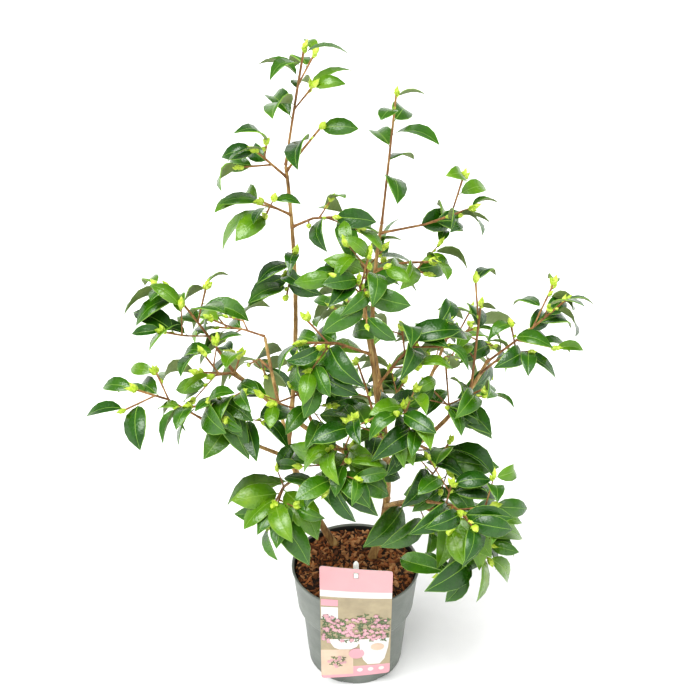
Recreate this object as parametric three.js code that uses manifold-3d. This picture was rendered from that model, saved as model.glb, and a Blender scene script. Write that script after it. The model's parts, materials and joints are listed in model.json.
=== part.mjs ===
// A camellia shrub in a plastic nursery pot, with bark mulch and a plant label on a stake.
// Millimetres, +Z up, +Y away from the front. The origin is the centre of the pot's underside.
//
// Every limb is one tapering curve. Every mass of foliage is one solid: a leader that grows from a
// limb, side shoots on the leader by a seeded rule, and leaves and buds fused to both.
import * as THREE from 'three';
import { mergeVertices } from 'three/addons/utils/BufferGeometryUtils.js';
import Module from 'manifold-3d';

const wasm = await Module();
wasm.setup();

// ---------------------------------------------------------------- driving sizes
const GAP = 0.3; // air between two solids that touch on the real plant
const TURN = 2 * Math.PI;

const POT = {
  height: 138,
  rimRadius: 75,
  collarRadius: 68.4, // where the collar ends
  collarHeight: 54,
  neckRadius: 62.4, // under the collar
  neckDrop: 9, // height of the step from collar to neck
  bandRadius: 57.2, // where the foot band starts
  bandHeight: 12,
  footRadius: 56,
  lip: 2.5, // width of the rolled rim
  wall: 1.6,
  floor: 3,
  sides: 32,
  drains: 8,
  drainWidth: 14,
  drainHeight: 2,
  drainDepth: 9,
  firstDrain: -100, // degrees from +X
};

const MULCH = {
  drop: 5, // below the rim
  edgeDrop: 2.5, // further down, at the pot's wall
  flatRadius: 60,
};
const GROUND = POT.height - MULCH.drop; // the level that the stems grow from

const LABEL = {
  width: 80,
  length: 180,
  aboveRim: 62,
  thickness: 0.8,
  corner: 4,
  lean: 6.4, // degrees forward from upright
  slotWidth: 6,
  slotHeight: 9,
  slotDrop: 10, // from the top edge to the slot's middle
  pegWidth: 4.5,
  pegHeight: 6,
  pegReach: 7.5, // forward from the stake
  stakeWidth: 6,
  stakeDepth: 1.6,
  stakeBehind: 5.2, // the card
  stakeAboveCard: 5,
  stakeBelowRim: 12,
};

// Limbs: from a point on the ground, or from a share of the way along another limb, to a tip.
// bow is how far the middle of the limb stands off the straight line. thick is the radius at
// the root and at the tip.
const LIMBS = [
  { name: 'trunk', foot: [18, 17], tip: [34, 5, 281], bow: [8, 4, 0], thick: [4.6, 3.7], flare: 0.35 },
  { name: 'left_stem', foot: [-23, 42], tip: [-76, 14, 292], bow: [-6, 0, 0], thick: [4.4, 3.2], flare: 0.3 },
  { name: 'left_leader', on: 'left_stem', at: 1, tip: [-69, 8, 628], bow: [9, 4, 0], thick: [2.8, 1.7] },
  { name: 'left_bough', on: 'trunk', at: 0.86, tip: [-128, -25, 415], bow: [-4, -16, 4], thick: [3.2, 2.0] },
  { name: 'right_leader', on: 'trunk', at: 1, tip: [26, 40, 552], bow: [-12, 14, 0], thick: [3.1, 1.8] },
  { name: 'right_bough', on: 'trunk', at: 0.97, tip: [140, 18, 400], bow: [10, 6, -14], thick: [2.9, 1.9] },
  { name: 'front_leader', on: 'trunk', at: 0.62, tip: [5, -66, 515], bow: [8, -34, -12], thick: [3.0, 1.8] },
  { name: 'low_right_bough', on: 'trunk', at: 0.54, tip: [76, -104, 306], bow: [0, -8, 10], thick: [2.5, 1.8] },
  { name: 'low_left_bough', on: 'left_stem', at: 0.9, tip: [-160, -42, 366], bow: [-4, -4, 2], thick: [2.3, 1.6] },
  { name: 'back_stem', on: 'trunk', at: 0.8, tip: [8, 78, 436], bow: [6, 16, 0], thick: [2.8, 1.8] },
  { name: 'back_left_bough', on: 'left_stem', at: 0.8, tip: [-104, 104, 384], bow: [-4, 10, 4], thick: [2.4, 1.7] },
  { name: 'back_right_bough', on: 'trunk', at: 0.9, tip: [104, 100, 384], bow: [6, 10, 4], thick: [2.5, 1.7] },
];

// Masses of foliage: where the leader springs from and where its tip is. rise is how far the
// leader arches up, sides how many side shoots it carries.
const MASSES = [
  { name: 'left_spire', on: 'left_leader', at: 1, tip: [-49, 0, 742], rise: 2, sides: 2 },
  { name: 'left_collar', on: 'left_leader', at: 0.84, tip: [-92, -16, 600], rise: 4, sides: 2 },
  { name: 'left_collar_right', on: 'left_leader', at: 0.8, tip: [-22, -26, 588], rise: 4, sides: 2 },
  { name: 'left_wisp', on: 'left_leader', at: 0.62, tip: [-70, -36, 530], rise: 2, sides: 2 },
  { name: 'right_spire', on: 'right_leader', at: 1, tip: [38, 35, 690], rise: 0, sides: 0 },
  { name: 'right_arm', on: 'right_leader', at: 0.96, tip: [116, 16, 580], rise: -4, sides: 2 },
  { name: 'front_crown', on: 'front_leader', at: 1, tip: [2, -84, 550], rise: 0, sides: 4 },
  { name: 'front_left', on: 'front_leader', at: 0.84, tip: [-52, -84, 482], rise: 6, sides: 4 },
  { name: 'front_right', on: 'front_leader', at: 0.72, tip: [62, -72, 480], rise: 4, sides: 4 },
  { name: 'left_fan', on: 'left_bough', at: 1, tip: [-186, -32, 516], rise: 4, sides: 3 },
  { name: 'left_fan_low', on: 'left_bough', at: 0.9, tip: [-142, -76, 440], rise: 8, sides: 4 },
  { name: 'left_tip', on: 'low_left_bough', at: 1, tip: [-226, -56, 412], rise: 6, sides: 2 },
  { name: 'left_under', on: 'low_left_bough', at: 0.6, tip: [-136, -86, 420], rise: 12, sides: 4 },
  { name: 'left_inner', on: 'left_bough', at: 0.45, tip: [-64, -72, 426], rise: 8, sides: 4 },
  { name: 'centre_left', on: 'front_leader', at: 0.3, tip: [-26, -128, 388], rise: 10, sides: 4 },
  { name: 'centre_right', on: 'front_leader', at: 0.42, tip: [58, -124, 410], rise: 6, sides: 4 },
  { name: 'low_centre', on: 'trunk', at: 0.74, tip: [-20, -98, 330], rise: 10, sides: 4 },
  { name: 'low_left', on: 'left_stem', at: 0.66, tip: [-84, -108, 306], rise: 14, sides: 4 },
  { name: 'right_tip', on: 'right_bough', at: 1, tip: [212, -14, 492], rise: -2, sides: 3 },
  { name: 'right_top', on: 'right_bough', at: 0.8, tip: [128, 2, 478], rise: -2, sides: 3 },
  { name: 'right_mid', on: 'right_bough', at: 0.92, tip: [172, -56, 456], rise: 8, sides: 2 },
  { name: 'right_under', on: 'right_bough', at: 0.56, tip: [90, -84, 408], rise: 8, sides: 4 },
  { name: 'mid_right', on: 'right_bough', at: 0.25, tip: [96, -74, 322], rise: 8, sides: 4 },
  { name: 'low_right', on: 'low_right_bough', at: 1, tip: [112, -170, 332], rise: 8, sides: 4 },
  { name: 'low_right_twig', on: 'low_right_bough', at: 0.7, tip: [136, -130, 252], rise: 16, sides: 3 },
  { name: 'back_crown', on: 'back_stem', at: 1, tip: [14, 100, 488], rise: 0, sides: 4 },
  { name: 'back_centre', on: 'back_stem', at: 0.7, tip: [-14, 160, 408], rise: 10, sides: 3 },
  { name: 'back_left', on: 'back_left_bough', at: 1, tip: [-158, 118, 388], rise: 4, sides: 4 },
  { name: 'back_left_low', on: 'back_left_bough', at: 0.7, tip: [-128, 154, 318], rise: 10, sides: 2 },
  { name: 'back_right', on: 'back_right_bough', at: 1, tip: [136, 118, 386], rise: 4, sides: 3 },
  { name: 'back_right_low', on: 'back_right_bough', at: 0.7, tip: [122, 156, 326], rise: 10, sides: 2 },
  { name: 'back_low', on: 'trunk', at: 0.86, tip: [2, 142, 328], rise: 12, sides: 3 },
  { name: 'spire_left', on: 'left_leader', at: 0.96, tip: [-96, -12, 650], rise: 3, sides: 2 },
  { name: 'spire_right', on: 'left_leader', at: 0.98, tip: [-34, -16, 674], rise: 1, sides: 1 },
  { name: 'low_middle', on: 'trunk', at: 0.5, tip: [84, -84, 276], rise: 10, sides: 3 },
  { name: 'right_collar', on: 'right_leader', at: 0.8, tip: [76, 4, 526], rise: 4, sides: 2 },
];

const SHOOT = {
  leaderRoot: 2.4, // radius
  sideRoot: 0.9,
  tip: 1.3,
  sides: 3, // faces round a twig
  bare: 0.3, // share of a leader that carries no leaves
  sideBare: 0.25,
  lastLeaf: 0.97, // share of the way to the tip
  internode: 14.6,
  stretch: 55, // longest straight stretch
  spread: 48, // degrees between a side shoot and its leader
  sideShare: 0.46, // length of a side shoot against its leader
  sideShortest: 32,
  sideLongest: 62,
};
const DIVERGENCE = (137.5 / 360) * TURN; // from each leaf or shoot to the next

const LEAF = {
  length: 53,
  spread: 0.2, // share that a leaf is longer or shorter by
  lowGain: 0.24, // how much larger the lowest, shaded leaves are
  lowTop: 430, // height at which that gain starts
  lowRange: 190,
  widthShare: 0.41,
  widestAt: 0.45,
  arch: 0.15,
  thickness: 1.3,
  stalk: 0.3, // radius
  angle: 62, // degrees between a leaf and its shoot
  tipAngle: 32,
  twoRanked: 0.7, // how far the leaves of a level shoot are sorted to its two sides
  climb: 0.6, // how much of a leaf's climb is left when it has settled
  droop: 0.32,
  roll: 0.6,
  turns: [0, 1.2, -1.2, 2.4], // further round the shoot, where a leaf looks for room
};
const BUD = { length: 10, widestAt: 0.4, radius: 2.9, tip: 0.35 };
const CLEAR = { twig: 2.6, leaf: 3 }; // kept from a twig's and from a leaf's middle line
const REACH = 82; // furthest that a mass goes from its leader
const SPACE_MARGIN = 1.2; // kept from the border to the next mass
const LIMB_MARGIN = 1.4; // kept from every limb

// ---------------------------------------------------------------- materials
const material = (color, roughness) => new THREE.MeshStandardMaterial({ color, roughness, metalness: 0 });
const FINISH = {
  pot: material('#8b9a9c', 0.45),
  mulch: material('#5a3420', 0.95),
  bark: material('#9c7452', 0.8),
  foliage: material('#2f7a2c', 0.4),
  card: material('#f0bcc6', 0.35),
  stake: material('#f2f2ee', 0.4),
};

// ---------------------------------------------------------------- small helpers
const UP = new THREE.Vector3(0, 0, 1);
const point = (xyz) => new THREE.Vector3(...xyz);
const mix = (a, b, share) => a + (b - a) * share;
const radians = THREE.MathUtils.degToRad;
const clamp = THREE.MathUtils.clamp;

// A stream of numbers from 0 to 1 that a seed fixes.
function randomStream(seed) {
  let state = seed >>> 0;
  return () => {
    state = (state + 0x6d2b79f5) >>> 0;
    let t = Math.imul(state ^ (state >>> 15), state | 1);
    t ^= t + Math.imul(t ^ (t >>> 7), t | 61);
    return ((t ^ (t >>> 14)) >>> 0) / 4294967296;
  };
}

function solidOf(geometry) {
  const bare = geometry.clone();
  bare.deleteAttribute('normal');
  bare.deleteAttribute('uv');
  const merged = mergeVertices(bare, 1e-4);
  const mesh = new wasm.Mesh({
    numProp: 3,
    vertProperties: merged.attributes.position.array,
    triVerts: new Uint32Array(merged.index.array),
  });
  return new wasm.Manifold(mesh);
}

function geometryOf(solid) {
  const { vertProperties, triVerts } = solid.getMesh();
  const geometry = new THREE.BufferGeometry();
  geometry.setAttribute('position', new THREE.BufferAttribute(vertProperties, 3));
  geometry.setIndex(new THREE.BufferAttribute(triVerts, 1));
  geometry.computeVertexNormals();
  return geometry;
}

// The largest body of a solid: loose scraps and sealed hollows are left behind.
function largestBody(solid) {
  return solid.decompose().reduce((best, body) => (body.volume() > best.volume() ? body : best));
}

const plant = new THREE.Group();
function addNode(name, solid, finish) {
  const mesh = new THREE.Mesh(geometryOf(solid), finish);
  mesh.name = name;
  plant.add(mesh);
}

// ---------------------------------------------------------------- pot, mulch and label
const turned = (profile) =>
  new THREE.LatheGeometry(profile.map(([radius, height]) => new THREE.Vector2(radius, height)), POT.sides).rotateX(
    Math.PI / 2,
  );

const collarBase = POT.height - POT.collarHeight;
const neckTop = collarBase - POT.neckDrop;

function potSolid() {
  const wall = POT.wall;
  const rolled = POT.rimRadius - wall;
  const shell = solidOf(
    turned([
      [0, 0],
      [POT.footRadius, 0],
      [POT.footRadius, POT.bandHeight],
      [POT.bandRadius, POT.bandHeight + 1],
      [POT.neckRadius, neckTop],
      [POT.collarRadius, collarBase],
      [rolled, POT.height - POT.lip],
      [POT.rimRadius, POT.height - POT.lip],
      [POT.rimRadius, POT.height],
      [POT.rimRadius - POT.lip, POT.height],
      [POT.rimRadius - POT.lip - wall / 2, POT.height - POT.lip],
      [POT.collarRadius - wall, collarBase],
      [POT.neckRadius - wall, neckTop],
      [POT.footRadius - wall, POT.floor],
      [0, POT.floor],
    ]),
  );
  const drains = Array.from({ length: POT.drains }, (_, i) => {
    const notch = new THREE.BoxGeometry(2 * POT.drainDepth, POT.drainWidth, 2 * POT.drainHeight);
    notch.translate(POT.footRadius, 0, 0);
    notch.rotateZ(radians(POT.firstDrain) + (i / POT.drains) * TURN);
    return solidOf(notch);
  });
  return drains.reduce((cut, notch) => cut.subtract(notch), shell);
}

function mulchSolid() {
  const clear = POT.wall + GAP + 0.1;
  const edge = GROUND - MULCH.edgeDrop;
  const edgeShare = (edge - collarBase) / (POT.height - POT.lip - collarBase);
  const innerRim = POT.rimRadius - POT.lip - POT.wall / 2;
  const edgeRadius = mix(POT.collarRadius - POT.wall, innerRim, edgeShare) - GAP - 0.1;
  return solidOf(
    turned([
      [0, POT.floor + GAP],
      [POT.footRadius - clear, POT.floor + GAP],
      [POT.neckRadius - clear, neckTop],
      [POT.collarRadius - clear, collarBase],
      [edgeRadius, edge],
      [MULCH.flatRadius, GROUND],
      [0, GROUND],
    ]),
  );
}

// The card lies against the front of the rim and leans forward with it. Its own frame has x to
// the right, y up the card and z out of its face, from the line where its back meets the rim.
function fromLabelFrame(geometry) {
  geometry.rotateX(Math.PI / 2 + radians(LABEL.lean));
  return solidOf(geometry.translate(0, -POT.rimRadius - GAP, POT.height));
}

function cardSolid() {
  const { width, length, aboveRim, corner, thickness } = LABEL;
  const outline = new THREE.Shape();
  const right = width / 2 - corner;
  const [top, bottom] = [aboveRim - corner, aboveRim - length + corner];
  outline.absarc(right, top, corner, Math.PI / 2, 0, true);
  outline.absarc(right, bottom, corner, 0, -Math.PI / 2, true);
  outline.absarc(-right, bottom, corner, -Math.PI / 2, -Math.PI, true);
  outline.absarc(-right, top, corner, Math.PI, Math.PI / 2, true);
  const card = new THREE.ExtrudeGeometry(outline, { depth: thickness, bevelEnabled: false, curveSegments: 3 });
  const slot = new THREE.BoxGeometry(LABEL.slotWidth, LABEL.slotHeight, 4 * thickness);
  slot.translate(0, aboveRim - LABEL.slotDrop, 0);
  return fromLabelFrame(card).subtract(fromLabelFrame(slot));
}

// The stake stands in the mulch inside the rim. A peg on it holds the card by its slot.
function stakeSolid() {
  const { aboveRim, stakeWidth, stakeDepth, stakeBehind, pegWidth, pegHeight, pegReach } = LABEL;
  const [top, foot] = [aboveRim + LABEL.stakeAboveCard, -LABEL.stakeBelowRim];
  const stake = new THREE.BoxGeometry(stakeWidth, top - foot, stakeDepth);
  stake.translate(0, (top + foot) / 2, -stakeBehind - stakeDepth / 2);
  const peg = new THREE.BoxGeometry(pegWidth, pegHeight, pegReach + stakeDepth);
  peg.translate(0, aboveRim - LABEL.slotDrop, (pegReach - stakeDepth) / 2 - stakeBehind);
  const whole = fromLabelFrame(stake).add(fromLabelFrame(peg));
  return largestBody(whole.subtract(mulchSolid().translate(0, 0, GAP)));
}

// ---------------------------------------------------------------- limbs
// A curve from root to tip whose middle stands off the straight line by bow.
function bowedCurve(root, tip, bow) {
  const handle = root.clone().add(tip).multiplyScalar(0.5).addScaledVector(bow, 2);
  return new THREE.QuadraticBezierCurve3(root, handle, tip);
}

// Two directions square to a tangent: the first lies level where it can.
function squareTo(tangent) {
  const level = Math.abs(tangent.z) < 0.94 ? UP : new THREE.Vector3(0, 1, 0);
  const across = new THREE.Vector3().crossVectors(level, tangent).normalize();
  return [across, new THREE.Vector3().crossVectors(tangent, across)];
}

// Moves the rings of an upright cylinder onto a curve. ringAt gives, for each ring from the top
// down, its share along the curve, how far it lies beyond that point, and its radius. The rings
// stay parallel, which keeps each facet of the bar flat.
function bendBar(bar, curve, ringAt) {
  const place = bar.attributes.position;
  const rings = bar.parameters.heightSegments;
  const heading = curve.getPoint(1).sub(curve.getPoint(0)).normalize();
  const [across] = squareTo(heading);
  const other = new THREE.Vector3().crossVectors(across, heading);
  for (let i = 0; i < place.count; i++) {
    const { along, beyond, radius } = ringAt(Math.round((0.5 - place.getY(i)) * rings));
    const at = curve.getPoint(along).addScaledVector(heading, beyond);
    at.addScaledVector(across, place.getX(i) * radius).addScaledVector(other, place.getZ(i) * radius);
    place.setXYZ(i, at.x, at.y, at.z);
  }
  return bar;
}

const FLARE_HEIGHT = 9; // over which a root flare fades
const BURIED = 6; // length of a stem below the flat cut, which is cut away
const LIMB_STEP = 34;
const LIMB_SIDES = { stem: 8, bough: 6 };

function planLimb(plan, made) {
  const tip = point(plan.tip);
  const parent = made[plan.on];
  const root = parent ? parent.curve.getPoint(plan.at) : point([...plan.foot, GROUND - BURIED]);
  const curve = bowedCurve(root, tip, point(plan.bow));
  const length = curve.getLength();
  const radiusAt = (along) => {
    const flare = plan.flare ? plan.flare * Math.exp(-Math.max(0, along * length - BURIED) / FLARE_HEIGHT) : 0;
    return mix(plan.thick[0], plan.thick[1], along) * (1 + flare);
  };
  const steps = Math.ceil(length / LIMB_STEP);
  const sides = plan.on ? LIMB_SIDES.bough : LIMB_SIDES.stem;
  const line = curve.getPoints(steps);
  // The limb's solid, or a sleeve that stands off it all round by grow.
  const solid = (grow) => {
    const bar = new THREE.CylinderGeometry(1, 1, 1, sides, steps);
    const ringAt = (ring) => {
      const along = 1 - ring / steps;
      const beyond = ring === 0 ? grow : ring === steps ? -grow : 0;
      return { along, beyond, radius: radiusAt(along) + grow };
    };
    return solidOf(bendBar(bar, curve, ringAt));
  };
  return { ...plan, curve, radiusAt, line, solid };
}

const limbs = {};
for (const plan of LIMBS) limbs[plan.name] = planLimb(plan, limbs);

// A limb starts inside its parent and is cut clear of it and of the limbs made before it.
function limbSolid(limb, earlier) {
  const bar = limb.solid(0);
  const cut = earlier.reduce((left, other) => left.subtract(other.solid(GAP)), bar);
  if (limb.on) return largestBody(cut);
  const below = new THREE.BoxGeometry(400, 400, 100).translate(0, 0, GROUND + GAP - 50);
  return cut.subtract(solidOf(below));
}

// ---------------------------------------------------------------- leaves and buds
// A blade is a three-sided cone of two steps: its foot becomes the leaf stalk, sunk in the twig, and
// its waist becomes the two edges and, a thickness below them, the midrib.
function leafCorners({ root, chord, face, length }) {
  const across = new THREE.Vector3().crossVectors(face, chord);
  const widest = root.clone().addScaledVector(chord, LEAF.widestAt * length);
  widest.addScaledVector(face, LEAF.arch * length);
  const half = (LEAF.widthShare * length) / 2;
  const ring = (centre, reach, depth) => ({
    right: centre.clone().addScaledVector(across, reach),
    left: centre.clone().addScaledVector(across, -reach),
    rib: centre.clone().addScaledVector(face, -depth),
  });
  return {
    tip: root.clone().addScaledVector(chord, length),
    waist: ring(widest, half, LEAF.thickness),
    foot: ring(root, LEAF.stalk, LEAF.stalk),
    root,
  };
}

function leafSolid(leaf) {
  const { root, tip, waist, foot } = leafCorners(leaf);
  const blade = new THREE.CylinderGeometry(0, 1, 2, 3, 2);
  const place = blade.attributes.position;
  for (let i = 0; i < place.count; i++) {
    const [x, y, z] = [place.getX(i), place.getY(i), place.getZ(i)].map((value) => Math.round(value * 2));
    const ring = y < 0 ? foot : waist;
    const onRing = x === 0 ? ring.rib : x > 0 ? ring.right : ring.left;
    const at = y > 0 ? tip : x === 0 && z === 0 ? root : onRing;
    place.setXYZ(i, at.x, at.y, at.z);
  }
  return solidOf(blade);
}

// Points spread over a leaf, for the tests of space.
function leafSamples(leaf) {
  const { root, tip, waist } = leafCorners(leaf);
  const samples = [tip, root.clone().lerp(tip, 0.08)];
  for (const edge of [waist.left, waist.right]) {
    for (const end of [root, tip]) {
      for (const share of [0.3, 0.65, 1]) {
        const rim = end.clone().lerp(edge, share);
        const middle = end.clone().lerp(waist.rib, share);
        samples.push(rim, middle, rim.clone().lerp(middle, 0.5));
      }
    }
  }
  return samples;
}

// ---------------------------------------------------------------- shoots
// The side of a shoot that a leaf stands off to. On a level shoot the stalks twist, so that the
// leaves lie to its left and right.
function leafSide(tangent, azimuth) {
  const [across, other] = squareTo(tangent);
  const level = Math.hypot(tangent.x, tangent.y);
  const lateral = Math.cos(azimuth);
  const least = Math.sign(lateral) * Math.max(Math.abs(lateral), LEAF.twoRanked * level);
  return across.multiplyScalar(least).addScaledVector(other, Math.sin(azimuth) * (1 - 0.7 * level)).normalize();
}

// One leaf, at a share of the way along its shoot. whim holds its own four chances.
function leafOf(shoot, along, azimuth, last, whim) {
  const tangent = shoot.bowed.getTangent(along);
  const outward = leafSide(tangent, azimuth);
  const angle = radians(mix(LEAF.angle, LEAF.tipAngle, last ** 3));
  const chord = tangent.clone().multiplyScalar(Math.cos(angle)).addScaledVector(outward, Math.sin(angle));
  chord.z = chord.z * LEAF.climb - LEAF.droop * (0.4 + whim.sag);
  chord.normalize();
  const root = shoot.pointAt(along);
  const fromTrunk = new THREE.Vector3(root.x, root.y, 0).normalize();
  const wanted = tangent.clone().multiplyScalar(0.3).addScaledVector(UP, 0.6).addScaledVector(fromTrunk, 0.5);
  const face = wanted.addScaledVector(chord, -wanted.dot(chord)).normalize();
  face.applyAxisAngle(chord, (2 * whim.roll - 1) * LEAF.roll);
  const low = clamp((LEAF.lowTop - root.z) / LEAF.lowRange, 0, 1);
  const young = 1 - 0.24 * last ** 3;
  const length = LEAF.length * (1 + (2 * whim.size - 1) * LEAF.spread) * (1 + LEAF.lowGain * low) * young;
  return { shoot, root, chord, face, length };
}

// The leaves of a shoot: they turn round it by the divergence and crowd towards its tip. A leaf
// that doesn't fit looks for room further round the shoot, and is skipped when it finds none.
function growLeaves(shoot, draw, fits) {
  const count = Math.max(2, Math.round((shoot.length * (1 - shoot.bare)) / SHOOT.internode));
  const turnAtStart = draw() * TURN;
  const leaves = [];
  for (let i = 0; i < count; i++) {
    const whim = { size: draw(), turn: draw(), roll: draw(), sag: draw() };
    const along = mix(shoot.bare, SHOOT.lastLeaf, ((i + 0.5) / (count - 0.5)) ** 0.85);
    const azimuth = turnAtStart + i * DIVERGENCE + (whim.turn - 0.5) * 0.6;
    for (const turn of LEAF.turns) {
      const leaf = leafOf(shoot, along, azimuth + turn, i / Math.max(1, count - 1), whim);
      if (fits(leaf, leaves)) {
        leaves.push(leaf);
        break;
      }
    }
  }
  return leaves;
}

// A shoot runs through a few points of a bowed curve in straight stretches.
function makeShoot(root, tip, bow, thick, bare) {
  const bowed = bowedCurve(root, tip, bow);
  const steps = Math.ceil(bowed.getLength() / SHOOT.stretch);
  const points = bowed.getPoints(steps);
  const pointAt = (along) => {
    const step = Math.min(Math.floor(along * steps), steps - 1);
    return points[step].clone().lerp(points[step + 1], along * steps - step);
  };
  return { bowed, steps, points, pointAt, length: bowed.getLength(), thick, bare };
}

function sideShoots(leader, count, draw) {
  const turnAtStart = draw() * TURN;
  return Array.from({ length: count }, (_, i) => {
    const [size, turn, place] = [draw(), draw(), draw()];
    const along = mix(0.3, 0.86, (i + 0.3 + 0.4 * place) / count);
    const tangent = leader.bowed.getTangent(along);
    const [across, other] = squareTo(tangent);
    const azimuth = turnAtStart + i * DIVERGENCE + (turn - 0.5) * 0.5;
    const heading = tangent
      .multiplyScalar(Math.cos(radians(SHOOT.spread)))
      .addScaledVector(across, Math.cos(azimuth) * Math.sin(radians(SHOOT.spread)))
      .addScaledVector(other, Math.sin(azimuth) * Math.sin(radians(SHOOT.spread)))
      .addScaledVector(UP, 0.1)
      .normalize();
    const longest = leader.length * SHOOT.sideShare * (1.15 - 0.5 * along) * (0.8 + 0.4 * size);
    const length = clamp(longest, SHOOT.sideShortest, SHOOT.sideLongest);
    const root = leader.pointAt(along);
    const tip = root.clone().addScaledVector(heading, length);
    return makeShoot(root, tip, new THREE.Vector3(0, 0, -length * 0.04), [SHOOT.sideRoot, SHOOT.tip], SHOOT.sideBare);
  });
}

// ---------------------------------------------------------------- the space of each mass
const closest = new THREE.Vector3();
const stretch = new THREE.Line3();
function distanceTo(line, at) {
  let least = Infinity;
  for (let i = 1; i < line.length; i++) {
    stretch.set(line[i - 1], line[i]).closestPointToPoint(at, true, closest);
    least = Math.min(least, closest.distanceTo(at));
  }
  return least;
}

const masses = MASSES.map((plan, i) => {
  const limb = limbs[plan.on];
  const root = limb.curve.getPoint(plan.at);
  const rootThick = Math.min(SHOOT.leaderRoot, limb.radiusAt(plan.at) * 0.85);
  const leader = makeShoot(root, point(plan.tip), new THREE.Vector3(0, 0, plan.rise), [rootThick, SHOOT.tip], SHOOT.bare);
  const spine = [0.25, 0.45, 0.65, 0.85, 1].map((along) => leader.pointAt(along));
  return { ...plan, leader, spine, seed: 1000 + 37 * i };
});

// A point is in a mass's space if that mass's leader is the nearest one and it is within reach.
function inSpaceOf(mass, at) {
  const own = distanceTo(mass.spine, at);
  if (own > REACH) return false;
  return masses.every((other) => other === mass || distanceTo(other.spine, at) > own + 2 * SPACE_MARGIN);
}

function clearOfLimbs(at) {
  return Object.values(limbs).every((limb) => distanceTo(limb.line, at) > limb.thick[0] + LIMB_MARGIN);
}

const labelTop = POT.height + LABEL.aboveRim + LABEL.stakeAboveCard + 5;

// Clear of the pot, the mulch and the label.
function clearOfPot(at) {
  const overPot = Math.hypot(at.x, at.y) < POT.rimRadius + 5 && at.z < POT.height + 5;
  const overLabel = Math.abs(at.x) < LABEL.width / 2 + 5 && Math.abs(at.y + POT.rimRadius) < 25 && at.z < labelTop;
  return !overPot && !overLabel;
}

const isClear = (at) => clearOfLimbs(at) && clearOfPot(at);

// ---------------------------------------------------------------- masses
const BUD_RINGS = [
  [BUD.length, BUD.tip],
  [BUD.length * BUD.widestAt, BUD.radius],
];

// A twig with a bud on its tip: a bent bar whose last two rings swell and close past the tip.
function twigSolid(shoot) {
  const bar = new THREE.CylinderGeometry(1, 1, 1, SHOOT.sides, shoot.steps + BUD_RINGS.length);
  return solidOf(bendBar(bar, shoot.bowed, (ring) => {
    const inBud = BUD_RINGS[ring];
    if (inBud) return { along: 1, beyond: inBud[0], radius: inBud[1] };
    const along = 1 - (ring - BUD_RINGS.length) / shoot.steps;
    return { along, beyond: 0, radius: mix(...shoot.thick, along) };
  }));
}

// A leaf keeps off the mass's other twigs, off its own twig past the stalk, and off other leaves.
function crowds(leaf, samples, shoots, leaves) {
  const outer = samples.filter((at) => at.distanceTo(leaf.root) > leaf.length / 3);
  if (outer.some((at) => distanceTo(leaf.shoot.points, at) < CLEAR.twig)) return true;
  const others = shoots.filter((shoot) => shoot !== leaf.shoot);
  if (others.some((shoot) => samples.some((at) => distanceTo(shoot.points, at) < CLEAR.twig))) return true;
  return leaves.some((other) => samples.some((at) => distanceTo(other.line, at) < CLEAR.leaf));
}

function massSolid(mass) {
  const draw = randomStream(mass.seed);
  const free = (at) => isClear(at) && inSpaceOf(mass, at);
  const sides = sideShoots(mass.leader, mass.sides, draw);
  const shoots = [mass.leader, ...sides.filter((shoot) => shoot.bowed.getPoints(6).slice(2).every(free))];
  const leaves = [];
  for (const shoot of shoots) {
    const grown = growLeaves(shoot, draw, (leaf, sisters) => {
      const samples = leafSamples(leaf);
      const { root, tip, waist } = leafCorners(leaf);
      leaf.line = [root.clone().lerp(waist.rib, 0.5), waist.rib, tip];
      return samples.every(free) && !crowds(leaf, samples, shoots, [...leaves, ...sisters]);
    });
    leaves.push(...grown);
  }
  const parts = [...shoots.map(twigSolid), ...leaves.map(leafSolid)];
  let whole = parts.reduce((joined, piece) => joined.add(piece));
  for (const limb of Object.values(limbs)) {
    const sleeve = limb.solid(GAP);
    if (whole.intersect(sleeve).volume() > 0) whole = whole.subtract(sleeve);
  }
  return largestBody(whole);
}

// ---------------------------------------------------------------- the whole plant
addNode('pot', potSolid(), FINISH.pot);
addNode('bark_mulch', mulchSolid(), FINISH.mulch);
addNode('label_card', cardSolid(), FINISH.card);
addNode('label_stake', stakeSolid(), FINISH.stake);
Object.values(limbs).forEach((limb, i, all) => addNode(limb.name, limbSolid(limb, all.slice(0, i)), FINISH.bark));
for (const mass of masses) addNode(mass.name, massSolid(mass), FINISH.foliage);

export default plant;
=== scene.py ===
# %% [markdown]
# # A young camellia in its nursery pot
#
# The measured frame is already made, plain and faceted: a pot, a bed of mulch, a label on a stake,
# twelve stems and boughs, and thirty-six masses of foliage. This lesson dresses it. Geometry Nodes
# grow what repeats: bark, twigs, leaves, buds, chips and the printed flowers. Mesh code makes the
# rest. Sizes are in millimetres until the end.

# %% Load the measured frame
import json
import math

import bmesh
import bpy
import numpy as np
from mathutils import Matrix

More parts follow.
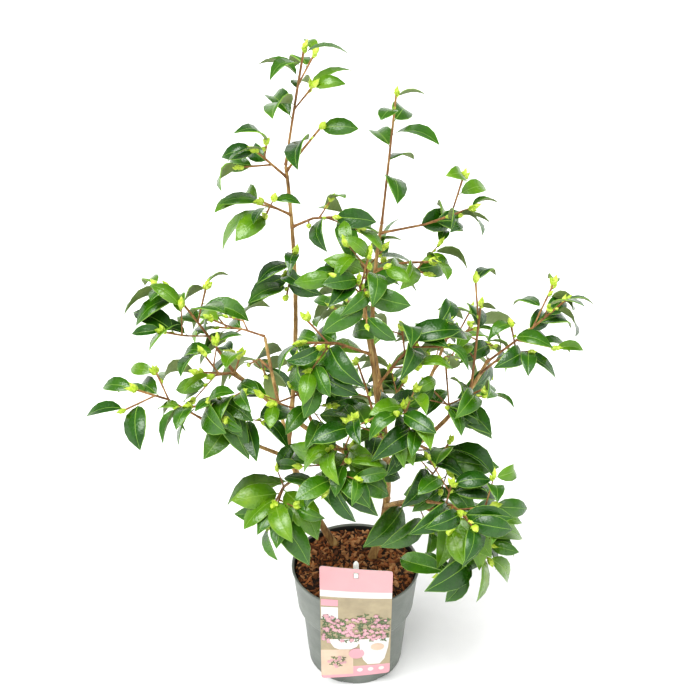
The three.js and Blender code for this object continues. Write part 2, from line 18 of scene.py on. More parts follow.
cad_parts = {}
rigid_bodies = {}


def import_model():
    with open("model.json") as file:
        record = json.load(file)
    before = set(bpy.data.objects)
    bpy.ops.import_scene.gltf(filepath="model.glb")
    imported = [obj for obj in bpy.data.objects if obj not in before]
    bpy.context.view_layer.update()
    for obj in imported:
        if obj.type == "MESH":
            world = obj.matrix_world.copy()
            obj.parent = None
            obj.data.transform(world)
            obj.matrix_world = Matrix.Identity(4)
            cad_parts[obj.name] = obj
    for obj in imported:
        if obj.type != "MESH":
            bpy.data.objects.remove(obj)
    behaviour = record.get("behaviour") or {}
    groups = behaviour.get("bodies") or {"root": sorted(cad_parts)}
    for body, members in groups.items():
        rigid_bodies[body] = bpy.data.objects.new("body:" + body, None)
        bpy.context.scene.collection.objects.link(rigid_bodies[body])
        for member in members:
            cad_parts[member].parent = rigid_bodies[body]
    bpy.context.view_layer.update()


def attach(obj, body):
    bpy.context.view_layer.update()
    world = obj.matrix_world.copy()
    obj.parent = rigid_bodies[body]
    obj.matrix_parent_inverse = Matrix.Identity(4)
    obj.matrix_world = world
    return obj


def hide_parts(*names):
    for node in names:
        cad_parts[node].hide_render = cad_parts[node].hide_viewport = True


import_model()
MM = 0.001
TURN = 2 * math.pi

# %% [markdown]
# ## The camera
#
# The plant is seen from a little above, so that the mulch shows and the crown still stands tall. A
# long lens a metre and a half away keeps the pot from looking squat.


# %% Set down the camera
def placed(name, data):
    """A new object in the scene."""
    made = bpy.data.objects.new(name, data)
    bpy.context.scene.collection.objects.link(made)
    return made


FOCAL_LENGTH, FILM_WIDTH, CAMERA_PITCH = 60.454, 36, 60.166
CAMERA_PLACE = (-0.006563, -1.07089, 1.039773)
lens = bpy.data.cameras.new("studio_lens")
lens.lens, lens.sensor_width = FOCAL_LENGTH, FILM_WIDTH
camera = placed("studio_camera", lens)
camera.location = CAMERA_PLACE
camera.rotation_euler = (math.radians(CAMERA_PITCH), 0, 0)
bpy.context.scene.camera = camera
print("camera looks down by", round(90 - CAMERA_PITCH, 1), "degrees")

# %% [markdown]
# ## Helpers for meshes and for finishes
#
# One small helper turns lists of corners and faces into an object. Another lays nodes in a tree and
# wires them in one call, so that a finish reads like a recipe.


# %% Helpers for meshes
def mesh_object(name, corners, faces, finishes=(), finish_of_face=None, smooth=True):
    """An object made of corners in millimetres, with its finishes dealt to its faces."""
    mesh = bpy.data.meshes.new(name)
    mesh.from_pydata([tuple(MM * float(v) for v in corner) for corner in corners], [], faces)
    for finish in finishes:
        mesh.materials.append(finish)
    if finish_of_face is not None:
        mesh.polygons.foreach_set("material_index", finish_of_face)
    mesh.polygons.foreach_set("use_smooth", [smooth] * len(mesh.polygons))
    mesh.update()
    return placed(name, mesh)


def closed_faces(sides, rings):
    """The faces of a closed form: a first corner, rings of corners one after another, a last one."""
    faces = [(0, 1 + (j + 1) % sides, 1 + j) for j in range(sides)]
    for a in range(1, 1 + sides * (rings - 1), sides):
        b = a + sides
        faces += [(a + j, a + (j + 1) % sides, b + (j + 1) % sides, b + j) for j in range(sides)]
    last, top = 1 + sides * (rings - 1), 1 + sides * rings
    return faces + [(last + j, last + (j + 1) % sides, top) for j in range(sides)]


def mark(mesh, name, kind, domain, values):
    """Stores a value on each point, edge or face."""
    field = "vector" if kind == "FLOAT_VECTOR" else "value"
    mesh.attributes.new(name, kind, domain).data.foreach_set(field, values)


def face_outward(piece):
    """Closes doubled corners and turns every face outward."""
    shape = bmesh.new()
    shape.from_mesh(piece.data)
    bmesh.ops.remove_doubles(shape, verts=shape.verts, dist=1e-7)
    bmesh.ops.recalc_face_normals(shape, faces=shape.faces)
    shape.to_mesh(piece.data)
    shape.free()
    return piece


def settle(piece, name):
    """The evaluated object as a plain mesh under a new name, with no modifier left on it."""
    graph = bpy.context.evaluated_depsgraph_get()
    mesh = bpy.data.meshes.new_from_object(piece.evaluated_get(graph))
    bpy.data.objects.remove(piece)
    mesh.name = name
    mesh.calc_loop_triangles()
    print(name, "has", len(mesh.loop_triangles), "triangles")
    return placed(name, mesh)


# %% Helpers for node trees
def lay(tree, kind, settings=None, **wires):
    """Adds a node. A wire named after a socket takes another node's socket or a plain value.
    Underscores stand for spaces, and input_2 means the socket at place 2."""
    node = tree.nodes.new(kind)
    for key, value in (settings or {}).items():
        setattr(node, key, value)
    for key, value in wires.items():
        place = int(key[6:]) if key.startswith("input_") else key.replace("_", " ")
        socket = node.inputs[place]
        if isinstance(value, bpy.types.NodeSocket):
            tree.links.new(value, socket)
        else:
            socket.default_value = value
    return node


def first(tree, kind, settings=None, **wires):
    """Adds a node and gives its first output."""
    return lay(tree, kind, settings, **wires).outputs[0]


def maths(tree, operation, a, b):
    return first(tree, "ShaderNodeMath", {"operation": operation}, input_0=a, input_1=b)


def scaled(tree, vector, by):
    return first(tree, "ShaderNodeVectorMath", {"operation": "SCALE"}, input_0=vector, Scale=by)


def shade_ramp(tree, factor, stops):
    """A colour ramp from (place, colour) stops."""
    ramp = lay(tree, "ShaderNodeValToRGB", Fac=factor)
    band = ramp.color_ramp.elements
    for end in (0, -1):
        band[end].position, band[end].color = stops[end][0], (*stops[end][1], 1)
    for place, colour in stops[1:-1]:
        band.new(place).color = (*colour, 1)
    return ramp.outputs["Color"]


def noise(tree, where, scale, detail=4.0, roughness=0.55):
    return lay(tree, "ShaderNodeTexNoise", Vector=where, Scale=scale, Detail=detail,
               Roughness=roughness).outputs["Fac"]


def stretch(tree, where, scale):
    return lay(tree, "ShaderNodeMapping", Vector=where, Scale=scale).outputs["Vector"]


def blended(tree, main, share, other):
    """share of the main pattern, and the rest of the other."""
    return first(tree, "ShaderNodeMath", {"operation": "MULTIPLY_ADD"}, input_0=main, input_1=share,
                 input_2=maths(tree, "MULTIPLY", other, 1 - share))


def two_noises(scale, detail, fine_scale, fine_detail):
    """A recipe: one noise for the colour and a finer one for the relief."""
    return lambda tree, place: (noise(tree, place, scale, detail),
                                noise(tree, place, fine_scale, fine_detail))


def finish(name, stops, recipe, roughness, relief, **shader):
    """A finish: recipe(tree, place) gives the pattern for colour and the one for relief.
    roughness is the range of the gloss, relief the height in metres of the bumps."""
    made = bpy.data.materials.new(name)
    made.use_nodes = True
    tree = made.node_tree
    surface = tree.nodes["Principled BSDF"]
    place = lay(tree, "ShaderNodeTexCoord").outputs["Object"]
    tint, height = recipe(tree, place)
    tree.links.new(shade_ramp(tree, tint, stops), surface.inputs["Base Color"])
    gloss = lay(tree, "ShaderNodeMapRange", Value=tint, input_3=roughness[0], input_4=roughness[1])
    tree.links.new(gloss.outputs["Result"], surface.inputs["Roughness"])
    bump = lay(tree, "ShaderNodeBump", Height=height, Distance=relief, Strength=1.0)
    tree.links.new(bump.outputs["Normal"], surface.inputs["Normal"])
    for socket, value in shader.items():
        surface.inputs[socket.replace("_", " ")].default_value = value
    return made


# %% [markdown]
# ## The finishes of the plant
#
# A camellia leaf is waxed above and matt below, with a pale midrib and rim. A whole leaf's colour
# goes with its age: deep for old leaves, middle for most, and fresh for the newest. Deep is also
# painted shade, dealt more often low in the crown. Inside one leaf the green drifts only a little.
# The wax is a low roughness under a strong mirror.

# %% Leaf finishes
leaf_pattern = two_noises(34, 3, 420, 2)
# deep is the green of old leaves and also painted shade low in the crown
LEAF_GREENS = {
    "deep": [(0.3, (0.007, 0.050, 0.000)), (0.55, (0.015, 0.080, 0.000)), (0.75, (0.030, 0.117, 0.001))],
    "middle": [(0.3, (0.018, 0.087, 0.000)), (0.55, (0.037, 0.128, 0.001)), (0.75, (0.070, 0.184, 0.002))],
    "fresh": [(0.3, (0.050, 0.150, 0.001)), (0.55, (0.092, 0.212, 0.002)), (0.75, (0.165, 0.290, 0.005))],
}
leaf_faces = {
    age: finish(f"leaf_{age}", greens, leaf_pattern, (0.20, 0.33), 0.0005, Specular_IOR_Level=0.6)
    for age, greens in LEAF_GREENS.items()
}
leaf_back = finish("leaf_underside", [(0.3, (0.120, 0.180, 0.045)), (0.7, (0.215, 0.285, 0.095))],
                   leaf_pattern, (0.55, 0.7), 0.0006)
leaf_rib = finish("leaf_midrib", [(0.3, (0.110, 0.230, 0.020)), (0.7, (0.200, 0.340, 0.045))],
                  leaf_pattern, (0.35, 0.5), 0.0003)
bud_scale = finish(
    "bud_scales", [(0.3, (0.260, 0.400, 0.020)), (0.5, (0.440, 0.580, 0.050)), (0.72, (0.620, 0.720, 0.160))],
    two_noises(130, 3, 900, 2), (0.35, 0.5), 0.0004)
print("leaf finishes:", sorted(leaf_faces))

# %% [markdown]
# ## The finishes of the bark
#
# Young bark is smooth and tan-brown, with fine streaks along the stem, and the twigs are redder.
# The streaks are noise that is squeezed across the stem and long up it. Real ridges come later.


# %% Bark finishes
def bark_pattern(tree, place):
    streaks = noise(tree, stretch(tree, place, (1, 1, 0.16)), 260, 5, 0.65)
    return blended(tree, streaks, 0.6, noise(tree, place, 45, 3)), streaks


stem_bark = finish(
    "stem_bark", [(0.36, (0.130, 0.068, 0.022)), (0.5, (0.350, 0.210, 0.075)), (0.64, (0.580, 0.420, 0.180))],
    bark_pattern, (0.7, 0.85), 0.0012)
twig_bark = finish(
    "twig_bark", [(0.36, (0.115, 0.048, 0.016)), (0.5, (0.260, 0.125, 0.042)), (0.64, (0.420, 0.250, 0.088))],
    bark_pattern, (0.6, 0.75), 0.0008)
print("bark finishes: stem, twig")

# %% [markdown]
# ## Chance that a seed fixes
#
# Growth follows a rule with a little chance in it. The chance comes from a stream of numbers that
# starts from a seed. The same stream grew the frame, so the twigs here start from the same places.


# %% A seeded stream, and how to aim things
def random_stream(seed):
    state = seed

    def draw():
        nonlocal state
        state = (state + 0x6D2B79F5) & 0xFFFFFFFF
        t = ((state ^ (state >> 15)) * (state | 1)) & 0xFFFFFFFF
        t ^= (t + (((t ^ (t >> 7)) * (t | 61)) & 0xFFFFFFFF)) & 0xFFFFFFFF
        return (t ^ (t >> 14)) / 4294967296

    return draw


UP = np.array([0.0, 0.0, 1.0])


def point(*xyz):
    return np.array(xyz, float)


def unit(way):
    return way / np.linalg.norm(way)


def mix(a, b, share):
    return a + (b - a) * share


def square_to(heading):
    """Two directions square to a heading. The first lies level where it can."""
    level = UP if abs(heading[2]) < 0.94 else point(0, 1, 0)
    across = unit(np.cross(level, heading))
    return across, np.cross(heading, across)


def distances(lines, places):
    """How far each place is from each straight stretch: lines is (starts, ends)."""
    starts, ends = lines
    along = ends - starts
    reach = np.maximum((along * along).sum(1), 1e-12)
    away = places[:, None, :] - starts[None]
    share = np.clip((away * along[None]).sum(2) / reach[None], 0, 1)
    return np.linalg.norm(away - share[..., None] * along[None], axis=2)


def stretches(points):
    return np.array(points[:-1]), np.array(points[1:])


# %% [markdown]
# ## Curves that bow
#
# Every stem, bough and twig is one curve from a root to a tip that bows off the straight line
# between them. This class answers where it is, which way it heads and how long it is.


# %% The bowed curve
class Bow:
    def __init__(self, root, tip, bow):
        self.root, self.tip = root, tip
        self.handle = (root + tip) / 2 + 2 * bow
        fine = self.points(200)
        self.length = float(np.linalg.norm(np.diff(fine, axis=0), axis=1).sum())

    def at(self, share):
        rest = 1 - share
        return rest * rest * self.root + 2 * rest * share * self.handle + share * share * self.tip

    def heading(self, share):
        return unit((1 - share) * (self.handle - self.root) + share * (self.tip - self.handle))

    def points(self, steps):
        return np.array([self.at(i / steps) for i in range(steps + 1)])


# %% [markdown]
# ## Stems and boughs
#
# Two stems rise from the mulch and part into leaders and boughs. Each limb is named after its own
# node of the frame.

# %% The limbs
GROUND, BURIED, FLARE_REACH, LIMB_STRETCH = 133, 6, 9, 34
LIMBS = {
    # name: (parent, share along it or its foot, tip, bow, radii at root and tip, flare)
    "trunk": (None, (18, 17), (34, 5, 281), (8, 4, 0), (4.6, 3.7), 0.35),
    "left_stem": (None, (-23, 42), (-76, 14, 292), (-6, 0, 0), (4.4, 3.2), 0.3),
    "left_leader": ("left_stem", 1, (-69, 8, 628), (9, 4, 0), (2.8, 1.7), 0),
    "left_bough": ("trunk", 0.86, (-128, -25, 415), (-4, -16, 4), (3.2, 2.0), 0),
    "right_leader": ("trunk", 1, (26, 40, 552), (-12, 14, 0), (3.1, 1.8), 0),
    "right_bough": ("trunk", 0.97, (140, 18, 400), (10, 6, -14), (2.9, 1.9), 0),
    "front_leader": ("trunk", 0.62, (5, -66, 515), (8, -34, -12), (3.0, 1.8), 0),
    "low_right_bough": ("trunk", 0.54, (76, -104, 306), (0, -8, 10), (2.5, 1.8), 0),
    "low_left_bough": ("left_stem", 0.9, (-160, -42, 366), (-4, -4, 2), (2.3, 1.6), 0),
    "back_stem": ("trunk", 0.8, (8, 78, 436), (6, 16, 0), (2.8, 1.8), 0),
    "back_left_bough": ("left_stem", 0.8, (-104, 104, 384), (-4, 10, 4), (2.4, 1.7), 0),
    "back_right_bough": ("trunk", 0.9, (104, 100, 384), (6, 10, 4), (2.5, 1.7), 0),
}
limbs = {}
for name, (parent, start, tip, bow, radii, flare) in LIMBS.items():
    foot = limbs[parent]["curve"].at(start) if parent else point(*start, GROUND - BURIED)
    curve = Bow(foot, point(*tip), point(*bow))
    line = stretches(curve.points(math.ceil(curve.length / LIMB_STRETCH)))
    limbs[name] = {"curve": curve, "radii": radii, "flare": flare, "line": line, "parent": parent}


def limb_radius(limb, share):
    past = max(0, share * limb["curve"].length - BURIED)
    return mix(*limb["radii"], share) * (1 + limb["flare"] * math.exp(-past / FLARE_REACH))


print("limbs:", len(limbs), "with", round(sum(l["curve"].length for l in limbs.values())), "mm of stem")

# %% [markdown]
# ## Bark along a line, with Geometry Nodes
#
# The line becomes a curve, a round profile runs along it with the radius that each point carries,
# and a noise field pushes the surface in and out. One tree serves the limbs, with deep ridges, and
# the twigs, with almost none.


# %% The tree that grows bark along a line
def new_rule(name, floats=(), others=(), finishes=0):
    """A tree with its inputs, and the socket that takes its result."""
    tree = bpy.data.node_groups.new(name, "GeometryNodeTree")
    sockets = [("Base", "Geometry"), *others] + [(given, "Float") for given in floats]
    for given, kind in sockets + [(f"Finish {i}", "Material") for i in range(finishes)]:
        tree.interface.new_socket(given, in_out="INPUT", socket_type=f"NodeSocket{kind}")
    tree.interface.new_socket("Result", in_out="OUTPUT", socket_type="NodeSocketGeometry")
    return tree, tree.nodes.new("NodeGroupInput").outputs, tree.nodes.new("NodeGroupOutput").inputs[0]


def carried(tree, attribute, kind):
    return first(tree, "GeometryNodeInputNamedAttribute", {"data_type": kind}, Name=attribute)


def bark_tree():
    tree, given, result = new_rule("bark along lines", ("Ridge height", "Ridges per metre"),
                                   [("Sides", "Int")], 1)
    curve = first(tree, "GeometryNodeMeshToCurve", Mesh=given["Base"])
    ring = first(tree, "GeometryNodeCurvePrimitiveCircle", Resolution=given["Sides"], Radius=1.0)
    tube = first(tree, "GeometryNodeCurveToMesh", Curve=curve, Profile_Curve=ring,
                 Scale=carried(tree, "thickness", "FLOAT"), Fill_Caps=True)
    drawn_out = first(tree, "ShaderNodeVectorMath", {"operation": "MULTIPLY"},
                      input_0=first(tree, "GeometryNodeInputPosition"), input_1=(1, 1, 0.18))
    ridges = lay(tree, "ShaderNodeTexNoise", Vector=drawn_out, Scale=given["Ridges per metre"], Detail=3.0)
    centred = maths(tree, "SUBTRACT", ridges.outputs["Fac"], 0.5)
    push = scaled(tree, first(tree, "GeometryNodeInputNormal"),
                  maths(tree, "MULTIPLY", centred, given["Ridge height"]))
    moved = first(tree, "GeometryNodeSetPosition", Geometry=tube, Offset=push)
    smooth = first(tree, "GeometryNodeSetShadeSmooth", Geometry=moved)
    real = first(tree, "GeometryNodeRealizeInstances", Geometry=smooth)
    tree.links.new(first(tree, "GeometryNodeSetMaterial", Geometry=real, Material=given["Finish 0"]), result)
    return tree


def grow_by(tree, carrier, name, **sizes):
    """Puts the tree on the carrier with its sizes set, and settles the result under a name."""
    modifier = carrier.modifiers.new("rule", "NODES")
    modifier.node_group = tree
    place = {item.name: item.identifier for item in tree.interface.items_tree if item.in_out == "INPUT"}
    for size, value in sizes.items():
        modifier[place[size.replace("_", " ")]] = value
    return settle(carrier, name)


def line_carrier(name, lines):
    """Lines, each a list of (place, radius) in millimetres, as a mesh of edges with a thickness."""
    corners, edges, thickness = [], [], []
    for line in lines:
        edges += [(len(corners) + i, len(corners) + i + 1) for i in range(len(line) - 1)]
        corners += [tuple(MM * place) for place, _ in line]
        thickness += [MM * radius for _, radius in line]
    mesh = bpy.data.meshes.new(name)
    mesh.from_pydata(corners, edges, [])
    mark(mesh, "thickness", "FLOAT", "POINT", thickness)
    return placed(name, mesh)


bark_rule = bark_tree()


# %% [markdown]
# ## The stems and boughs in bark
#
# Where a bough leaves a stem the wood swells into a collar, and old leaf scars leave low rings up the
# stem, one each SCAR_STEP. Both are put in the radius that each point of the line carries.

# %% Grow the limbs
LIMB_STEP, COLLAR, COLLAR_REACH, SCAR, SCAR_STEP = 2.5, 0.45, 6, 0.07, 27
CLOSES_FROM, CLOSES_OVER = 3, 3.4  # the end of a limb is rounded over these


def dressed_limb(limb):
    curve = limb["curve"]
    steps = math.ceil(curve.length / LIMB_STEP)
    points = []
    for i in range(steps + 1):
        share = i / steps
        far = share * curve.length
        collar = COLLAR * math.exp(-far / COLLAR_REACH) if limb["parent"] else 0
        scars = SCAR * max(0, math.cos(TURN * far / SCAR_STEP)) ** 12
        into_end = max(0, (far - curve.length + CLOSES_FROM) / CLOSES_OVER)
        closing = math.sqrt(max(0.0, 1 - into_end**2))
        points.append((curve.at(share), limb_radius(limb, share) * (1 + collar + scars) * closing))
    return points


stems = grow_by(bark_rule, line_carrier("limb_lines", [dressed_limb(l) for l in limbs.values()]),
                "bark_stems_and_boughs", Sides=18, Ridge_height=1.1 * MM, Ridges_per_metre=420.0,
                Finish_0=stem_bark)

# %% [markdown]
# ## Where each mass of foliage grows
#
# A mass is one leader that springs from a limb, a few side shoots on it, and their leaves. Finer
# twigs fill it out later. The tall spires stay open.

# %% The masses of foliage
MASSES = {
    # name: (limb, share, tip, rise, side shoots, finer twigs)
    "left_spire": ("left_leader", 1, (-49, 0, 742), 2, 2, 0),
    "left_collar": ("left_leader", 0.84, (-92, -16, 600), 4, 2, 1),
    "left_collar_right": ("left_leader", 0.8, (-22, -26, 588), 4, 2, 2),
    "left_wisp": ("left_leader", 0.62, (-70, -36, 530), 2, 2, 0),
    "right_spire": ("right_leader", 1, (38, 35, 690), 0, 0, 0),
    "right_arm": ("right_leader", 0.96, (116, 16, 580), -4, 2, 0),
    "front_crown": ("front_leader", 1, (2, -84, 550), 0, 4, 3),
    "front_left": ("front_leader", 0.84, (-52, -84, 482), 6, 4, 3),
    "front_right": ("front_leader", 0.72, (62, -72, 480), 4, 4, 2),
    "left_fan": ("left_bough", 1, (-186, -32, 516), 4, 3, 1),
    "left_fan_low": ("left_bough", 0.9, (-142, -76, 440), 8, 4, 2),
    "left_tip": ("low_left_bough", 1, (-226, -56, 412), 6, 2, 0),
    "left_under": ("low_left_bough", 0.6, (-136, -86, 420), 12, 4, 4),
    "left_inner": ("left_bough", 0.45, (-64, -72, 426), 8, 4, 4),
    "centre_left": ("front_leader", 0.3, (-26, -128, 388), 10, 4, 4),
    "centre_right": ("front_leader", 0.42, (58, -124, 410), 6, 4, 4),
    "low_centre": ("trunk", 0.74, (-20, -98, 330), 10, 4, 3),
    "low_left": ("left_stem", 0.66, (-84, -108, 306), 14, 4, 2),
    "right_tip": ("right_bough", 1, (212, -14, 492), -2, 3, 0),
    "right_top": ("right_bough", 0.8, (128, 2, 478), -2, 3, 0),
    "right_mid": ("right_bough", 0.92, (172, -56, 456), 8, 2, 0),
    "right_under": ("right_bough", 0.56, (90, -84, 408), 8, 4, 2),
    "mid_right": ("right_bough", 0.25, (96, -74, 322), 8, 4, 2),
    "low_right": ("low_right_bough", 1, (112, -170, 332), 8, 4, 3),
    "low_right_twig": ("low_right_bough", 0.7, (136, -130, 252), 16, 3, 2),
    "back_crown": ("back_stem", 1, (14, 100, 488), 0, 4, 1),
    "back_centre": ("back_stem", 0.7, (-14, 160, 408), 10, 3, 1),
    "back_left": ("back_left_bough", 1, (-158, 118, 388), 4, 4, 1),
    "back_left_low": ("back_left_bough", 0.7, (-128, 154, 318), 10, 2, 1),
    "back_right": ("back_right_bough", 1, (136, 118, 386), 4, 3, 2),
    "back_right_low": ("back_right_bough", 0.7, (122, 156, 326), 10, 2, 3),
    "back_low": ("trunk", 0.86, (2, 142, 328), 12, 3, 3),
    "spire_left": ("left_leader", 0.96, (-96, -12, 650), 3, 2, 0),
    "spire_right": ("left_leader", 0.98, (-34, -16, 674), 1, 1, 0),
    "low_middle": ("trunk", 0.5, (84, -84, 276), 10, 3, 2),
    "right_collar": ("right_leader", 0.8, (76, 4, 526), 4, 2, 1),
}
print("masses:", len(MASSES), "with", sum(m[5] for m in MASSES.values()), "finer twigs to place")

# %% [markdown]
# ## The sizes of shoots and leaves
#
# The last leaves of a shoot point more forward than the first. Leaves and side shoots turn round
# the shoot by the golden angle, so that no leaf sits right over the next.

# %% Sizes of shoots and leaves
SHOOT = {"leader_root": 2.4, "side_root": 0.9, "tip": 1.3, "bare": 0.3, "side_bare": 0.25,
         "last_leaf": 0.97, "internode": 14.6, "stretch": 55, "spread": math.radians(48),
         "side_share": 0.46, "side_from": 0.3, "side_to": 0.86, "side_rise": 0.1, "side_sag": 0.04,
         "shortest": 32, "longest": 62}
LEAF = {"length": 53, "spread": 0.2, "low_gain": 0.24, "low_top": 430, "low_range": 190, "width": 0.41,
        "widest_at": 0.45, "arch": 0.15, "thickness": 1.3, "angle": 62, "tip_angle": 32, "two_ranked": 0.7,
        "climb": 0.6, "droop": 0.32, "roll": 0.6, "turns": (0, 1.2, -1.2, 2.4)}
DIVERGENCE = 137.5 / 360 * TURN
TWIG_CLEAR, LEAF_CLEAR, REACH, SPACE_MARGIN, LIMB_MARGIN = 2.6, 3, 82, 1.2, 1.4


# %% The shoot, and the side that a leaf stands off to
class Shoot:
    """A twig: a bowed curve run through in a few straight stretches."""

    def __init__(self, root, tip, bow, thick, bare):
        self.bowed = Bow(root, tip, bow)
        self.length, self.thick, self.bare = self.bowed.length, thick, bare
        self.steps = math.ceil(self.length / SHOOT["stretch"])
        self.points = self.bowed.points(self.steps)
        self.line = stretches(self.points)

    def at(self, share):
        step = min(int(share * self.steps), self.steps - 1)
        return mix(self.points[step], self.points[step + 1], share * self.steps - step)


def leaf_side(heading, azimuth):
    across, other = square_to(heading)
    level = math.hypot(heading[0], heading[1])
    lateral = math.cos(azimuth)
    least = math.copysign(max(abs(lateral), LEAF["two_ranked"] * level), lateral)
    return unit(across * least + other * (math.sin(azimuth) * (1 - 0.7 * level)))


def turned_about(way, axis, angle):
    c, s = math.cos(angle), math.sin(angle)
    return way * c + np.cross(axis, way) * s + axis * (axis @ way) * (1 - c)


# %% [markdown]
# ## One leaf
#
# A leaf has a root on the twig, a chord from root to tip, and a way that its face looks. The chord
# leans out and settles under the leaf's weight. The face turns to the light. Its middle line and a
# few points spread over it tell whether it would run into a stem, the pot, the label or a leaf.


# %% Place one leaf
def leaf_on(shoot, share, azimuth, last, whim, gain=1.0):
    heading = shoot.bowed.heading(share)
    outward = leaf_side(heading, azimuth)
    angle = math.radians(mix(LEAF["angle"], LEAF["tip_angle"], last**3))
    chord = heading * math.cos(angle) + outward * math.sin(angle)
    chord[2] = chord[2] * LEAF["climb"] - LEAF["droop"] * (0.4 + whim["sag"])
    chord = unit(chord)
    root = shoot.at(share)
    wanted = heading * 0.3 + UP * 0.6 + unit(point(root[0], root[1], 0)) * 0.5
    face = unit(wanted - chord * (wanted @ chord))
    face = turned_about(face, chord, (2 * whim["roll"] - 1) * LEAF["roll"])
    low = min(max((LEAF["low_top"] - root[2]) / LEAF["low_range"], 0), 1)
    length = LEAF["length"] * (1 + (2 * whim["size"] - 1) * LEAF["spread"]) * (1 + LEAF["low_gain"] * low)
    leaf = {"shoot": shoot, "root": root, "chord": chord, "face": face, "last": last,
            "length": gain * length * (1 - 0.24 * last**3)}
    return with_samples(leaf)


def with_samples(leaf):
    root, chord, face, length = leaf["root"], leaf["chord"], leaf["face"], leaf["length"]
    across = np.cross(face, chord)
    widest = root + chord * LEAF["widest_at"] * length + face * LEAF["arch"] * length
    half = LEAF["width"] * length / 2
    rib, tip = widest - face * LEAF["thickness"], root + chord * length
    samples = [tip, mix(root, tip, 0.08)]
    for edge in (widest - across * half, widest + across * half):
        for end in (root, tip):
            for share in (0.3, 0.65, 1):
                rim, middle = mix(end, edge, share), mix(end, rib, share)
                samples += [rim, middle, (rim + middle) / 2]
    leaf.update(across=across, samples=np.array(samples), line=stretches([mix(root, rib, 0.5), rib, tip]))
    return leaf


# %% [markdown]
# ## Room to grow
#
# Each mass keeps to its own space: a point belongs to the mass whose leader is nearest. That gives
# the crown its layers, with air between them. Leaves stay off the limbs, the pot and the label.

# %% Tests of room
masses = {}
for i, (name, (limb, start, tip, rise, sides, finer)) in enumerate(MASSES.items()):
    radius = min(SHOOT["leader_root"], limb_radius(limbs[limb], start) * 0.85)
    leader = Shoot(limbs[limb]["curve"].at(start), point(*tip), point(0, 0, rise), (radius, SHOOT["tip"]),
                   SHOOT["bare"])
    spine = stretches([leader.at(share) for share in (0.25, 0.45, 0.65, 0.85, 1)])
    masses[name] = {"leader": leader, "spine": spine, "place": i, "sides": sides, "finer": finer}


def joined(lines):
    return tuple(np.concatenate([line[end] for line in lines]) for end in (0, 1))


all_spines = joined([m["spine"] for m in masses.values()])
all_limbs = joined([l["line"] for l in limbs.values()])
limb_room = np.concatenate([[l["radii"][0] + LIMB_MARGIN] * len(l["line"][0]) for l in limbs.values()])


POT_ROOM = {"radius": 80, "top": 143}
LABEL_ROOM = {"middle": -75, "half_width": 45, "half_depth": 25, "top": 210}


def clear_of_things(places):
    """Clear of the limbs, the pot and the label."""
    if (distances(all_limbs, places) <= limb_room).any():
        return False
    x, y, z = places.T
    in_pot = (np.hypot(x, y) < POT_ROOM["radius"]) & (z < POT_ROOM["top"])
    in_label = (abs(x) < LABEL_ROOM["half_width"]) & (z < LABEL_ROOM["top"])
    in_label &= abs(y - LABEL_ROOM["middle"]) < LABEL_ROOM["half_depth"]
    return not (in_pot | in_label).any()


def in_own_space(mass, places, own_only=True):
    from_spines = distances(all_spines, places).reshape(len(places), len(masses), -1).min(2)
    own = from_spines[:, mass["place"]]
    if (own > REACH).any():
        return False
    others = np.delete(from_spines, mass["place"], axis=1)
    return not own_only or bool((others > own[:, None] + 2 * SPACE_MARGIN).all())


def crowds(leaf, shoots, lines, twig_clear=TWIG_CLEAR, leaf_clear=LEAF_CLEAR):
    """Whether a leaf runs into its own twig past the stalk, another twig or another leaf."""
    samples = leaf["samples"]
    outer = samples[np.linalg.norm(samples - leaf["root"], axis=1) > leaf["length"] / 3]
    for shoot in shoots + [leaf["shoot"]]:
        at_risk = outer if shoot is leaf["shoot"] else samples
        if (distances(shoot.line, at_risk) < twig_clear).any():
            return True
    return bool(lines) and bool((distances(joined(lines), samples) < leaf_clear).any())


# %% [markdown]
# ## Grow the shoots and their first leaves
#
# The rule of the frame: side shoots on the leader, then leaves on each of them. A leaf that finds no
# room looks further round the shoot, and is left out if there is none.


# %% The rule of growth
def side_shoots(leader, count, draw):
    at_start = draw() * TURN
    made = []
    for i in range(count):
        size, turn, place = draw(), draw(), draw()
        share = mix(SHOOT["side_from"], SHOOT["side_to"], (i + 0.3 + 0.4 * place) / count)
        heading = leader.bowed.heading(share)
        across, other = square_to(heading)
        azimuth = at_start + i * DIVERGENCE + (turn - 0.5) * 0.5
        aside = math.sin(SHOOT["spread"])
        way = heading * math.cos(SHOOT["spread"]) + across * (math.cos(azimuth) * aside)
        way = unit(way + other * (math.sin(azimuth) * aside) + UP * SHOOT["side_rise"])
        length = leader.length * SHOOT["side_share"] * (1.15 - 0.5 * share) * (0.8 + 0.4 * size)
        length = min(max(length, SHOOT["shortest"]), SHOOT["longest"])
        root, bow = leader.at(share), point(0, 0, -length * SHOOT["side_sag"])
        thick = (SHOOT["side_root"], SHOOT["tip"])
        made.append(Shoot(root, root + way * length, bow, thick, SHOOT["side_bare"]))
    return made


def grow_leaves(shoot, draw, fits, internode=SHOOT["internode"], gain=1.0):
    count = max(2, math.floor(shoot.length * (1 - shoot.bare) / internode + 0.5))
    at_start = draw() * TURN
    leaves = []
    for i in range(count):
        whim = {"size": draw(), "turn": draw(), "roll": draw(), "sag": draw()}
        share = mix(shoot.bare, SHOOT["last_leaf"], ((i + 0.5) / (count - 0.5)) ** 0.85)
        azimuth = at_start + i * DIVERGENCE + (whim["turn"] - 0.5) * 0.6
        for turn in LEAF["turns"]:
            leaf = leaf_on(shoot, share, azimuth + turn, i / max(1, count - 1), whim, gain)
            if fits(leaf, leaves):
                leaves.append(leaf)
                break
    return leaves


